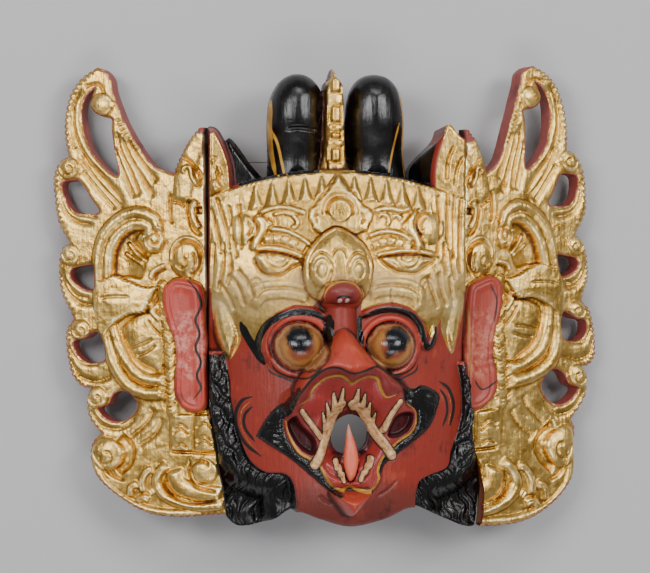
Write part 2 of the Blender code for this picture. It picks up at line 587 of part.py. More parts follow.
def cells(low, high, pitch, distance):
    """Triangles that fill the drawing where distance is negative, trimmed to its edge."""
    nx = int(math.ceil((high[0] - low[0]) / pitch)) + 1
    ny = int(math.ceil((high[1] - low[1]) / pitch)) + 1
    gx, gy = np.meshgrid(low[0] + pitch * np.arange(nx), low[1] + pitch * np.arange(ny))
    px = gx.ravel()
    py = gy.ravel()
    s = distance(px, py)
    s = np.where(np.abs(s) < 0.06 * pitch, -0.06 * pitch, s)
    ids = np.arange(nx * ny).reshape(ny, nx)
    a = ids[:-1, :-1].ravel()
    b = ids[:-1, 1:].ravel()
    c = ids[1:, 1:].ravel()
    d = ids[1:, :-1].ravel()
    tris = np.vstack([np.stack([a, b, c], 1), np.stack([a, c, d], 1)])
    inside = s < 0
    count = inside[tris].sum(1)
    whole = tris[count == 3]
    new_xy = []
    made = {}

    def crossing(i, j):
        key = (i, j) if i < j else (j, i)
        if key not in made:
            k = s[i] / (s[i] - s[j])
            made[key] = nx * ny + len(new_xy)
            new_xy.append((px[i] + k * (px[j] - px[i]), py[i] + k * (py[j] - py[i])))
        return made[key]

    part = []
    for t in tris[(count == 1) | (count == 2)]:
        t = [int(v) for v in t]
        while not (inside[t[0]] and not inside[t[2]]):
            t = t[1:] + t[:1]
        if inside[t[1]]:
            m = crossing(t[1], t[2])
            n = crossing(t[0], t[2])
            part += [(t[0], t[1], m), (t[0], m, n)]
        else:
            part.append((t[0], crossing(t[0], t[1]), crossing(t[0], t[2])))
    every = np.vstack([whole, np.array(part)]) if part else whole
    xy = np.vstack([np.stack([px, py], 1), np.array(new_xy).reshape(-1, 2)])
    used, back = np.unique(every, return_inverse=True)
    return xy[used], back.reshape(every.shape)


def closed(xy, tris, front, rear):
    """Front and rear skins over the same triangles, joined by walls round every edge."""
    n = len(xy)
    pairs = np.vstack([tris[:, [0, 1]], tris[:, [1, 2]], tris[:, [2, 0]]])
    low = pairs.min(1).astype(np.int64)
    high = pairs.max(1).astype(np.int64)
    key = low * n + high
    _, first, times = np.unique(key, return_index=True, return_counts=True)
    rim_pairs = pairs[first[times == 1]]
    walls = np.stack([rim_pairs[:, 1], rim_pairs[:, 0], rim_pairs[:, 0] + n, rim_pairs[:, 1] + n], 1)
    verts = np.vstack([front, rear])
    faces = tris.tolist() + (tris[:, ::-1] + n).tolist() + walls.tolist()
    return verts, faces


def material(name, hex_colour, roughness, metallic=0.0):
    """A plain principled material."""
    rgb = [int(hex_colour[i:i + 2], 16) / 255.0 for i in (0, 2, 4)]
    linear = [c / 12.92 if c <= 0.04045 else ((c + 0.055) / 1.055) ** 2.4 for c in rgb]
    mat = bpy.data.materials.new(name)
    mat.use_nodes = True
    shader = mat.node_tree.nodes["Principled BSDF"]
    shader.inputs["Base Color"].default_value = (*linear, 1.0)
    shader.inputs["Roughness"].default_value = roughness
    shader.inputs["Metallic"].default_value = metallic
    return mat


def solid(name, verts, faces, mat, share):
    """A closed body in metres, thinned evenly where it is flat."""
    mesh = bpy.data.meshes.new(name)
    mesh.from_pydata((verts * MM).tolist(), [], faces)
    work = bmesh.new()
    work.from_mesh(mesh)
    bmesh.ops.triangulate(work, faces=work.faces)
    bmesh.ops.recalc_face_normals(work, faces=work.faces)
    work.to_mesh(mesh)
    work.free()
    mesh.materials.append(mat)
    obj = bpy.data.objects.new(name, mesh)
    bpy.context.scene.collection.objects.link(obj)
    thin = obj.modifiers.new("thin", "DECIMATE")
    thin.ratio = share
    mesh.shade_smooth()
    mesh.set_sharp_from_angle(angle=math.radians(40))
    return obj


def to_drawing(pitch, box, distance):
    low = (box[0], box[2])
    high = (box[1], box[3])
    return cells(low, high, pitch, distance)


def make_head(mat):
    """The carved block: face, crown, topknot and hair, hollow behind."""
    xy, tris = to_drawing(HEAD_PITCH, HEAD_BOX, lambda x, y: head_relief(x, y)[0])
    x, y = xy[:, 0], xy[:, 1]
    _, h = head_relief(x, y)
    b = hollow(x, y, h, WALL / KX)
    front = np.stack([x * KX, y * KY, h * KZ], 1)
    rear = np.stack([x * KX, y * KY, b * KZ], 1)
    return solid("mask_head", *closed(xy, tris, front, rear), mat, HEAD_SHARE)


def wing_place(side, a, y, w, shear):
    """Puts a point of a wing's drawing in the mask: along the board, up it, and off its face."""
    sweep = math.radians(WING_SWEEP)
    a = a + shear * WING_THICKNESS * math.tan(sweep) * step((24.0 - a) / 22.0)
    out, up = (a, y) if side < 0 else lean(a, y)
    x = SEAM_HALF_WIDTH + out * KA * math.cos(sweep) + w * math.sin(sweep)
    z = WING_ROOT_HEIGHT - out * KA * math.sin(sweep) + w * math.cos(sweep)
    points = SEAM_L if side < 0 else SEAM_R
    free = FIT_GAP / 2 + (HAIR_GAP - FIT_GAP) * step((SEAM_FREE - up) / 8.0)
    x = np.maximum(x, seam(up, points) * KX + free)
    return np.stack([side * x, up * KY, z], 1)


def make_wing(name, side, mat):
    """A pierced board, carved on the front, its inner edge cut to bear on the block."""
    xy, tris = to_drawing(WING_PITCH, WING_BOX, lambda a, y: wing_relief(a, y)[0])
    a, y = xy[:, 0], xy[:, 1]
    _, w = wing_relief(a, y)
    front = wing_place(side, a, y, w, 0.0)
    rear = wing_place(side, a, y, np.full(a.shape, -WING_THICKNESS), 1.0)
    return solid(name, *closed(xy, tris, front, rear), mat, WING_SHARE)


def make_tongue(mat):
    """A flat-backed tongue with a crowned face, on its seat in the jaw."""
    line = curve(TONGUE, True)
    xy, tris = to_drawing(TONGUE_PITCH, TONGUE_BOX, lambda x, y: region(x, y, line))
    x, y = xy[:, 0], xy[:, 1]
    flat = SEAT_Z * KZ + FIT_GAP
    front = flat + tongue_face(x, y) * TONGUE_THICKNESS
    front = np.stack([x * KX, y * KY, front], 1)
    rear = np.stack([x * KX, y * KY, np.full(x.shape, flat)], 1)
    return solid("tongue", *closed(xy, tris, front, rear), mat, TONGUE_SHARE)


def make_wire(mat):
    """A taut length of thin wire between the horn's inner edge and the topknot."""
    data = bpy.data.curves.new("hanging_wire", "CURVE")
    data.dimensions = "3D"
    data.bevel_depth = WIRE_DIAMETER / 2 * MM
    data.bevel_resolution = 2
    data.use_fill_caps = True
    line = data.splines.new("POLY")
    line.points.add(WIRE_POINTS - 1)
    for i in range(WIRE_POINTS):
        k = i / (WIRE_POINTS - 1)
        p = [WIRE_FROM[j] + k * (WIRE_TO[j] - WIRE_FROM[j]) for j in range(3)]
        line.points[i].co = (p[0] * KX * MM, p[1] * KY * MM, p[2] * KZ * MM, 1.0)
    obj = bpy.data.objects.new("hanging_wire", data)
    data.materials.append(mat)
    bpy.context.scene.collection.objects.link(obj)
    return obj


def centre_on_back():
    """Moves every piece so that the origin is the middle of the box's underside."""
    bpy.context.view_layer.update()
    graph = bpy.context.evaluated_depsgraph_get()
    low = np.full(3, 1e9)
    high = -low
    for obj in bpy.context.scene.objects:
        real = obj.evaluated_get(graph)
        mesh = real.to_mesh()
        points = np.empty(3 * len(mesh.vertices), np.float32)
        mesh.vertices.foreach_get("co", points)
        real.to_mesh_clear()
        low = np.minimum(low, points.reshape(-1, 3).min(0))
        high = np.maximum(high, points.reshape(-1, 3).max(0))
    for obj in bpy.context.scene.objects:
        obj.location = (-(low[0] + high[0]) / 2, -(low[1] + high[1]) / 2, -low[2])


def main():
    for obj in list(bpy.data.objects):
        bpy.data.objects.remove(obj, do_unlink=True)
    make_head(material("painted_carved_wood", "A63B2B", 0.45))
    gilt = material("gilded_carved_wood", "B8924A", 0.42, 0.6)
    make_wing("wing_left", -1, gilt)
    make_wing("wing_right", 1, gilt)
    make_tongue(material("painted_tongue_wood", "D4674A", 0.5))
    make_wire(material("steel_wire", "6A6868", 0.4, 1.0))
    centre_on_back()


main()
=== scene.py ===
import math

import bpy
import numpy as np
from bpy.props import FloatProperty, FloatVectorProperty, PointerProperty
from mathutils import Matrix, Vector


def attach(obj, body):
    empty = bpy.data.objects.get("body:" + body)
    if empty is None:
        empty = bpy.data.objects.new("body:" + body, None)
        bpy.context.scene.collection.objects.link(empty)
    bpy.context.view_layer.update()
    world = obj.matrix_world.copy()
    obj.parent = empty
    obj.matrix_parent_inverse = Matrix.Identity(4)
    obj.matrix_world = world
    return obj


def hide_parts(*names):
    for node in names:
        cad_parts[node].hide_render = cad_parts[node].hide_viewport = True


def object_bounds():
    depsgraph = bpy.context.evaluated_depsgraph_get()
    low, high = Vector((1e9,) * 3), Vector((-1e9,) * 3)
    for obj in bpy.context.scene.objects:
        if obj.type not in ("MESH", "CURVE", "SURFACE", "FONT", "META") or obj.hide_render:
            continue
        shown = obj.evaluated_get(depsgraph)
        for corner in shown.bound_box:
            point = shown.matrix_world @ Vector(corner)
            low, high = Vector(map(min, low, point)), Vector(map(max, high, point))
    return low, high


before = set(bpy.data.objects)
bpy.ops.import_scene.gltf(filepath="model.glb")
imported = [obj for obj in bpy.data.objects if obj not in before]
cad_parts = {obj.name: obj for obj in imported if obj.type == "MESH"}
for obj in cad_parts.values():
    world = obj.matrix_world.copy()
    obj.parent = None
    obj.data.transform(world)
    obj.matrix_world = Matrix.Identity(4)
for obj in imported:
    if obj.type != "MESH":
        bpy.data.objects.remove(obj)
SOLID_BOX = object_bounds()

bl_info = {
    "name": "Winged Mask",
    "version": (1, 0, 0),
    "blender": (4, 5, 0),
    "location": "View3D > Sidebar > Mask",
    "description": "Builds a carved, painted and gilded mask with two pierced wings",
    "category": "Add Mesh",
}

# Sizes in millimetres, the same as the model's
SEAM_HALF_WIDTH = 91.5
WALL = 13.0
WING_THICKNESS = 14.0
WING_SWEEP = 20.0
WING_ROOT_HEIGHT = 58.0
FIT_GAP = 0.3
HAIR_GAP = 1.2
TONGUE_THICKNESS = 7.0
MM = 0.001
# from the drawing's origin to the frame's
SHIFT = (1.259, 0.647, 0.07)
# a distance that stands for well away from the line
FAR = 900.0

# The camera's distance from the mask, the width it sees there, how far it stands to the left,
# in degrees, and the point it looks at
CAMERA_DISTANCE = 1500.0
VIEW_WIDTH = 468.0
CAMERA_TURN = 6.0
CAMERA_AIM = (-7.92, 5.8, 60.0)
SENSOR_WIDTH = 36.0

TONGUE_PITCH = 0.4
WIRE_RADIUS = 0.3
FLOOR_HALF = 6000.0


def curve(points, closed=False, per=6):
    """A smooth line through the points, as rows of x and y."""
    p = np.array(points, float)
    if closed:
        spans = len(p)
        p = np.vstack([p[-1:], p, p[:2]])
    else:
        spans = len(p) - 1
        p = np.vstack([2 * p[:1] - p[1:2], p, 2 * p[-1:] - p[-2:-1]])
    t = np.arange(per)[:, None] / per
    rows = []
    for i in range(spans):
        a, b, c, d = p[i:i + 4]
        rows.append(0.5 * (2 * b + (c - a) * t + (2 * a - 5 * b + 4 * c - d) * t ** 2
                           + (3 * b - a - 3 * c + d) * t ** 3))
    if not closed:
        rows.append(p[-2:-1])
    return np.vstack(rows)


def along(x, y, line, reach=12.0):
    """Distance to a line, the share of its length there, and the side (+1 left)."""
    dist = np.full(x.shape, FAR)
    share = np.zeros(x.shape)
    side = np.ones(x.shape)
    low = line.min(0) - reach
    high = line.max(0) + reach
    near = (x > low[0]) & (x < high[0]) & (y > low[1]) & (y < high[1])
    if not near.any():
        return dist, share, side
    px = x[near]
    py = y[near]
    best = np.full(px.shape, FAR ** 2)
    where = np.zeros(px.shape)
    hand = np.ones(px.shape)
    run = 0.0
    for a, b in zip(line[:-1], line[1:]):
        e = b - a
        size = max(float(e @ e), 1e-9)
        length = math.sqrt(size)
        ux = px - a[0]
        uy = py - a[1]
        k = np.clip((ux * e[0] + uy * e[1]) / size, 0.0, 1.0)
        q = (ux - k * e[0]) ** 2 + (uy - k * e[1]) ** 2
        m = q < best
        best[m] = q[m]
        where[m] = run + k[m] * length
        hand[m] = np.where(e[0] * uy[m] - e[1] * ux[m] >= 0, 1.0, -1.0)
        run += length
    dist[near] = np.sqrt(best)
    share[near] = where / run
    side[near] = hand
    return dist, share, side


def region(x, y, line, reach=12.0):
    """Signed distance to a closed line: negative inside."""
    ring = np.vstack([line, line[:1]])
    dist, _, _ = along(x, y, ring, reach)
    near = dist < FAR
    px = x[near]
    py = y[near]
    odd = np.zeros(px.shape, bool)
    for a, b in zip(ring[:-1], ring[1:]):
        if a[1] == b[1]:
            continue
        cross = (a[1] > py) != (b[1] > py)
        odd ^= cross & (px < a[0] + (py - a[1]) * (b[0] - a[0]) / (b[1] - a[1]))
    dist[near] = np.where(odd, -dist[near], dist[near])
    return dist


def step(v):
    """Smooth 0 to 1."""
    v = np.clip(v, 0.0, 1.0)
    return v * v * (3.0 - 2.0 * v)


def quarter(v):
    """A quarter-round rise from 0 to 1."""
    return np.sqrt(1.0 - (1.0 - np.clip(v, 0.0, 1.0)) ** 2)


def bead(x, y, points, width, height, ends=0.0, per=6):
    """A rounded rib along a line; ends is the share over which it tapers."""
    line = curve(points, per=per)
    d, t, _ = along(x, y, line, width + 1)
    f = np.clip(1.0 - (d / width) ** 2, 0.0, 1.0) ** 0.5
    if ends:
        f = f * step(np.minimum(t, 1.0 - t) / ends) ** 0.5
    return height * f


def cut(x, y, points, width, depth, ends=0.15, per=6):
    """A V groove along a line, as a height to take away."""
    line = curve(points, per=per)
    d, t, _ = along(x, y, line, width + 1)
    f = np.clip(1.0 - d / width, 0.0, 1.0)
    if ends:
        f = f * step(np.minimum(t, 1.0 - t) / ends)
    return depth * f


def pad(sd, height, edge, crown=0.0, radius=10.0):
    """A raised area with a sloped edge and a crowned top."""
    f = height * step(-sd / edge)
    if crown:
        f = f + crown * quarter(-sd / radius)
    return f


def ball(x, y, cx, cy, rx, ry, height):
    """A half ellipsoid."""
    q = ((x - cx) / rx) ** 2 + ((y - cy) / ry) ** 2
    return height * np.sqrt(np.clip(1.0 - q, 0.0, 1.0))


def spiral(x, y, cx, cy, r, start, hand, turns=1.6, depth=1.6, width=1.1):
    """A volute's groove: winds in from radius r at angle start."""
    n = int(14 * turns) + 2
    k = np.linspace(0.0, 1.0, n)
    ang = math.radians(start) + hand * 2 * math.pi * turns * k
    rad = r * (1.0 - 0.82 * k)
    line = np.stack([cx + rad * np.cos(ang), cy + rad * np.sin(ang)], 1)
    d, t, _ = along(x, y, line, width + 1)
    return depth * np.clip(1.0 - d / width, 0.0, 1.0) * step(t / 0.1)


def between(a, b, s, n=14):
    """A line a share s of the way from line a to line b."""
    def even(line):
        seg = np.hypot(*np.diff(line, axis=0).T)
        run = np.concatenate([[0.0], np.cumsum(seg)]) / seg.sum()
        k = np.linspace(0, 1, n)
        return np.stack([np.interp(k, run, line[:, 0]), np.interp(k, run, line[:, 1])], 1)
    return (1 - s) * even(curve(a)) + s * even(curve(b))


def over(h, form, lift=0.0):
    """Lays a form on the surface where the form stands."""
    return np.where(form > 0, np.maximum(h, form + lift), h)


WING_BOX = (-20, 126, -166, 170)

# the board's edge, in runs that meet at notches
LEAF_EDGE = [(0, -84), (0, 0), (0, 60), (0, 113), (6, 120), (12, 115), (18, 106), (23, 97), (27, 87)]
FRONT_EDGE = [(27, 87), (42, 93), (52, 105), (63, 123), (68, 134), (73, 147), (75, 157), (80, 163),
              (85, 165)]
CURL_EDGES = [[(85, 165), (97, 158), (106, 146), (110, 130), (110, 114), (107, 100)],
              [(107, 100), (114, 97), (119, 86), (118, 70), (115, 52), (106, 37)],
              [(106, 37), (112, 34), (115, 21), (113, 2), (103, -18)],
              [(103, -18), (109, -26), (109, -40), (105, -58), (97, -67), (89, -68)],
              [(89, -68), (93, -76), (92, -88), (87, -96), (82, -101)],
              [(82, -101), (89, -108), (90, -120), (84, -133), (67, -147), (45, -158), (20, -160),
               (-14, -157)]]
HAIR_EDGE = [(-14, -157), (-12, -140), (-8, -125), (-6, -108), (-3, -92), (0, -84)]
HOLES = [[(87, 150), (95, 142), (97, 128), (92, 108), (84, 97), (75, 88.5), (69, 87.5), (72, 104),
          (74, 120), (74, 127), (80, 129), (86, 132), (90, 138), (89, 145)],
         [(98, 82), (105, 83), (112, 81), (111, 72), (106, 63), (98, 59), (84, 60), (90, 70)],
         [(87, 21), (95, 21), (104, 19), (106, 14), (102, 8), (92, 3), (86, 5), (86, 12)],
         [(86, -27), (94, -32), (103, -34), (102, -41), (97, -47), (90, -50), (79, -47), (79, -35)],
         [(56, -76), (64, -70), (72, -72), (77, -80), (84, -83), (81, -88), (73, -92), (64, -91),
          (56, -84)]]
KNOBS = [(81, 137.5, 8.5), (106.5, 92, 8), (105, 29, 7.5), (97, -26, 7.5), (84.5, -75, 8),
         (77, -116, 12)]
EAR = [(30, 8), (24, 12), (14, 11), (5, 7), (2, -4), (1, -25), (0, -50), (-1, -74), (3, -83),
       (10, -85), (18, -82), (23, -76), (25, -66), (24, -48), (25, -34), (30, -20), (33, -8),
       (33, 3)]
RIB_EDGE = [(31, 48), (35, 54), (43, 61), (54, 63.5), (66, 60), (75.5, 51.5), (83, 41), (85.5, 27),
            (86, 10), (83.5, -12), (79, -33), (73.5, -54), (65, -67), (56, -74), (48, -76),
            (31, -75)]
RIB_GROOVE = [(45, 39), (40, 39), (38, 44), (39.5, 49), (45, 54.5), (54, 56), (66, 52.5), (75.5, 44),
              (81, 30.5), (82, 13), (79.5, -10), (76, -27), (72, -42), (64, -56.5), (55, -64),
              (45, -67), (31, -66.5)]
RIB_INNER = [(46.5, 41.5), (45, 46), (48.5, 50), (57, 48.5), (66, 43), (72.5, 30.5), (72, 15),
             (71, -10), (68, -28), (63, -37), (55.5, -48), (46, -55.5), (31, -58)]
RECESS = [(72, 13), (72.5, 30.5), (66, 43), (57, 48.5), (48.5, 49), (47, 41), (47, 36), (43.5, 29.5),
          (46, 23.5), (50.5, 11), (61, 12)]
POD = [(66, -24), (62, -38), (54, -49), (45, -54), (34, -55), (34, -16), (46, -12), (58, -16)]
FOLD = [(86, 10), (80.5, 10.5), (71, 14.5), (64.5, 12), (57, 9.5), (49, 6), (39, 5.5), (40, 2),
        (42.5, -3.5), (45, -9), (49, -13.5), (59.5, -15), (69.5, -21), (79, -29.5), (83.5, -23.5),
        (86, -11)]
FLUTES = [([(105.5, 138), (106, 127), (105, 116), (101, 105)], 2.6, 1.8),
          ([(96, 150), (102.5, 141), (104, 127.5), (101.5, 113), (93.5, 97.5), (79, 82.5), (63, 64.5)],
           3.6, 2.6),
          ([(93, 147.5), (98, 137), (98, 122), (88.5, 103.5), (76, 91.5), (68.5, 84.5)], 2.6, 2.0),
          ([(99, 103), (86.5, 84), (73, 70), (63, 61)], 3.4, 2.4),
          ([(96, 90.5), (84, 76.5), (70, 61)], 2.8, 2.0),
          ([(72, 107.5), (65.5, 90), (56, 69)], 3.2, 2.4),
          ([(70, 118.5), (67, 104), (58.5, 86.5), (52.5, 69)], 3.2, 2.6),
          ([(66.5, 114.5), (60, 99), (51, 84.5), (41, 68.5)], 3.2, 2.6),
          ([(62.5, 112), (51, 96), (39, 79.5)], 3.0, 2.4),
          ([(115, 80), (110, 62), (100, 53), (86, 51)], 2.8, 2.2),
          ([(112, 74), (104, 60), (94, 57), (84, 56)], 2.2, 1.8),
          ([(114, 18), (109, 4), (98, -6), (86, -7)], 2.8, 2.2),
          ([(109, 10), (102, 0), (90, -3)], 2.0, 1.6),
          ([(108, -35), (104, -43.5), (95, -50.5), (82, -51)], 2.4, 2.0),
          ([(107, -45), (99.5, -58.5), (86, -63), (72, -59)], 2.8, 2.2),
          ([(90, -84), (82, -95), (66, -97), (54, -88)], 2.6, 2.0),
          ([(52, -77), (57.5, -87), (68.5, -94)], 3.0, 2.2),
          ([(41.5, -81.5), (46.5, -92), (61, -104.5)], 3.4, 2.6),
          ([(34.5, -88.5), (41, -101), (54.5, -110)], 3.4, 2.4)]


def wing_edge():
    """The board's closed outline."""
    runs = [LEAF_EDGE, FRONT_EDGE] + CURL_EDGES + [HAIR_EDGE]
    return np.vstack([curve(r, per=5)[:-1] for r in runs])


def scallops(x, y, points, pitch, depth, reach=5.0):
    """Small nicks cut along a line, as a depth that fades away from it."""
    line = curve(points)
    size = np.hypot(*np.diff(line, axis=0).T).sum()
    d, t, _ = along(x, y, line, reach)
    nick = 1.0 - np.abs(np.sin(math.pi * t * size / pitch)) ** 0.7
    ends = step(t * 10) * step((1 - t) * 10)
    return np.where(d < reach, depth * nick * ends, 0.0) * step((reach - d) / reach)


def wing_relief(x, y):
    """Signed distance to the wing's edge, and the height of its carving."""
    sd = region(x, y, wing_edge(), 14.0)
    h = np.zeros(x.shape)
    for run in CURL_EDGES:
        nicks = scallops(x, y, run, 4.6, 1.3)
        sd = sd + 0.8 * nicks
        h -= 1.2 * nicks
    nicks = scallops(x, y, LEAF_EDGE[4:], 3.8, 1.3)
    sd = sd + 0.8 * nicks
    h -= 1.2 * nicks
    for hole in HOLES:
        sd = np.maximum(sd, -region(x, y, curve(hole, True), 14.0))

    # long feathers, fluted from the tips down to the scroll
    for line, width, depth in FLUTES:
        d, t, _ = along(x, y, curve(line), 7.0)
        h -= 1.25 * depth * (1.0 - quarter(d / (1.9 * width))) * step(np.minimum(t, 1.0 - t) / 0.1)
    h -= scallops(x, y, [(69, 130), (65, 120), (59, 110), (53, 103.5)], 3.6, 2.2, 4.0)
    h -= cut(x, y, [(95, 150.5), (89, 152.5), (84, 152.5), (80.5, 148.5), (79.5, 144), (81.5, 140.5)],
             1.6, 2.4)

    # round knobs at the feathers' ends
    for n, (cx, cy, r) in enumerate(KNOBS):
        h = over(h, ball(x, y, cx, cy, r, r, 0.38 * r), 0.4)
        if n:
            h -= spiral(x, y, cx, cy, 0.8 * r, 20, -1, 0.8, 1.5, 1.2)

    # the great scroll: a double rib, sunk inside, with ribs in its eye
    sunk = region(x, y, curve(RECESS, True))
    shade = step((x - 42.0) / 22.0)
    h -= (1.6 + 4.2 * shade) * step(-sunk / 2.0)
    pod = region(x, y, curve(POD, True))
    h -= 2.6 * step((-pod + 1.0) / 2.0)
    h = over(h, pad(pod, 1.0, 2.4, 3.4, 11.0), -2.4)
    h = over(h, bead(x, y, between(RIB_EDGE, RIB_GROOVE, 0.5), 4.7, 4.6, 0.03, 2), 0.2)
    h = over(h, bead(x, y, between(RIB_GROOVE, RIB_INNER, 0.5), 4.4, 3.8, 0.02, 2), 0.0)
    h = over(h, ball(x, y, 40.5, 38.5, 7.5, 8.5, 4.6), 0.2)
    h -= spiral(x, y, 41, 39, 6.2, 90, 1, 0.7, 2.2, 1.4)
    h = h + bead(x, y, [(54, 43), (49, 38), (43.5, 29)], 3.2, 3.4, 0.1)
    h -= cut(x, y, [(58, 37.5), (52, 30.5), (45.5, 24)], 1.8, 2.0)
    h = h + bead(x, y, [(62.5, 38), (56, 30), (47, 24)], 1.6, 2.6, 0.1)
    h = h + bead(x, y, [(65, 30.5), (58.5, 26), (50.5, 22)], 1.5, 1.8, 0.1)
    h -= cut(x, y, [(61, -40), (50, -35.5), (41, -31.5)], 1.6, 1.8)
    h -= cut(x, y, [(55, -44.5), (46.5, -41.5), (39, -36)], 1.6, 1.8)
    h = over(h, bead(x, y, [(43.5, 11), (41, 17), (32.5, 21)], 1.8, 2.4, 0.1), 0.6)
    h -= cut(x, y, [(41.5, 9.5), (38.5, 15.5), (32, 19)], 1.3, 2.0)
    h = over(h, bead(x, y, [(44, -6), (42, -13), (36, -19)], 2.2, 2.2, 0.1), 0.6)
    h -= cut(x, y, [(46, -18), (42, -23.5), (34, -31)], 1.4, 1.8)

    # folded ribbon leaf across the scroll, its edges pinked
    fold = region(x, y, curve(FOLD, True))
    fold = fold + scallops(x, y, [(82, 10.5), (71, 14.5), (57, 9.5), (41, 5.5)], 3.4, 1.8, 4.0)
    fold = fold + scallops(x, y, [(42, -3), (45, -9), (49, -13.5), (64, -17)], 3.4, 1.6, 4.0)
    roll = 6.8 * np.sqrt(np.clip(1.0 - ((x - 70.0) / 36.0) ** 2, 0, 1)) - 0.05 * np.abs(y + 6)
    h = np.where(fold < 0, np.maximum(h, h + (roll - h) * step(-fold / 1.2)), h)
    h -= cut(x, y, [(81.5, -3.5), (72, -1.5), (57, -1.5)], 1.3, 0.9)
    h -= cut(x, y, [(38.5, 6), (38, 0), (43, -9), (48, -14)], 1.6, 2.6)

    # bead column and crescents beside the ear
    h = over(h, bead(x, y, [(34, 6), (30, -30), (28, -60), (27, -84)], 4.6, 2.6))
    h = over(h, bead(x, y, [(20.5, -86), (20.5, -112)], 8.6, 2.8, 0.04))
    h = over(h, bead(x, y, [(3, -86), (2, -112)], 8.4, 2.6, 0.04))
    for k in range(9):
        cy = -8 - 9 * k
        h -= cut(x, y, [(25, cy + 2), (29, cy - 1), (34, cy + 2)], 1.2, 2.0, 0.0)
        h -= cut(x, y, [(25, cy - 0.4), (29, cy - 3.4), (34, cy - 0.4)], 0.8, 1.2, 0.0)
    for cx, rows in ((20.5, (-95, -98.5, -109)), (3, (-94, -103, -106.5))):
        for cy in rows:
            h -= cut(x, y, [(cx - 6, cy - 2), (cx, cy + 2), (cx + 6, cy - 2)], 1.2, 2.0, 0.1)
    h -= cut(x, y, [(29, -113), (11.5, -113.5), (-6.5, -114.5)], 1.6, 2.2, 0.05)

    # foot: the sunk crescent beside the knob, small leaves, long ridges and a volute
    clear = np.hypot(x - 77, y + 116) > 11.4
    h -= clear * bead(x, y, [(68, -103), (60, -111), (61, -120.5), (69.5, -128.5)], 4.6, 4.0, 0.1)
    petal = [(26, -126), (22, -137), (8, -142), (-10, -144)]
    ridge = [(31, -122), (38, -130), (38.5, -138), (30, -147), (8, -152), (-12, -150)]
    h = over(h, bead(x, y, petal, 6.6, 3.8, 0.08))
    h = over(h, bead(x, y, ridge, 3.6, 4.0, 0.06))
    h = over(h, ball(x, y, 4, -127, 11, 10, 4.2))
    h = over(h, bead(x, y, [(88, -118), (80, -136), (62, -150), (36, -157), (6, -157)], 3.0, 2.4, 0.1))
    h -= cut(x, y, [(80.5, -116.5), (80.5, -123.5), (74, -131), (63, -135)], 1.7, 2.6)
    h -= cut(x, y, [(28, -134.5), (33, -134.5), (32.5, -139), (26, -145.5), (11.5, -149.5),
                    (-8.5, -147)], 1.7, 3.2)
    h -= cut(x, y, [(0, -135.5), (9, -133.5), (12.5, -125.5), (9, -120), (1.5, -120), (-1, -125)], 1.8,
             2.8)
    h -= cut(x, y, [(13.5, -118.5), (14.5, -128), (9, -137.5), (-8.5, -141.5)], 1.8, 2.6)
    for line in ([(59, -146), (58.5, -139.5), (53, -137)],
                 [(49, -143), (50, -135), (46.5, -128), (42, -126)],
                 [(54, -150), (49, -146.5), (44.5, -148)], [(44, -140), (41, -144)]):
        h = over(h, bead(x, y, line, 2.6, 3.4, 0.12))
        h -= cut(x, y, line, 0.8, 1.2)

    # inner leaf above the ear, with its rosette
    h = over(h, bead(x, y, [(7, 112), (13, 100), (18, 84), (20, 66)], 7.0, 1.8, 0.1))
    h = over(h, ball(x, y, 16, 27, 13.5, 15.5, 4.2))
    h -= cut(x, y, [(25.5, 22), (26, 29), (24, 35), (17.5, 38.5), (8.5, 35.5), (5, 27.5), (6.5, 19),
                    (11, 14.5), (16.5, 15.5)], 2.4, 3.4)
    h -= cut(x, y, [(24.5, 21.5), (19.5, 19.5), (16.5, 21), (16.5, 25), (19, 26)], 1.5, 2.0)
    h -= cut(x, y, [(11, 30.5), (9, 23.5), (11, 16.5)], 1.6, 1.8)
    h -= cut(x, y, [(29, 67), (23, 66), (17.5, 62.5)], 1.8, 2.2)
    h -= cut(x, y, [(13, 70), (16.5, 63.5), (15, 54.5), (11.5, 46), (4, 41.5)], 1.9, 2.4)
    h = over(h, bead(x, y, [(9, 68), (12, 62), (11, 54), (7, 47)], 3.0, 2.6, 0.1))
    h -= cut(x, y, [(29.5, 74), (29.5, 61.5), (29, 54.5), (27, 50)], 1.9, 2.6)
    h -= cut(x, y, [(21.5, 99), (15, 96.5), (8, 89), (5.5, 81), (10, 75.5)], 1.7, 2.4)
    h = over(h, bead(x, y, [(19, 86), (18, 91), (13.5, 91), (12, 84.5), (8, 78)], 1.9, 3.2, 0.1))
    nail = np.maximum(np.abs(x - 7.5), np.abs(y - 60.5))
    h -= 4.0 * step((2.7 - nail) / 0.8)

    # the ear, a thick smooth tab
    ear = region(x, y, curve(EAR, True))
    tab = 6.4 * quarter(-ear / 3.4) - 1.1 * step((-ear - 4.5) / 7)
    h = np.where(ear < 0, np.maximum(h, 0) * step((ear + 2) / 2) + tab, h)
    h -= np.where(ear < 0, 0.8 * np.clip(1 - np.abs(ear + 5.0) / 1.2, 0, 1), 0)

    # softened arrises at every edge, and the open joint beside the block
    h = h - 1.4 * step((2.2 + sd) / 2.2)
    h -= 9.0 * step((2.6 + 0.02 * (y - 20) - x) / 1.2) * step((y + 84) / 4)
    return sd, h


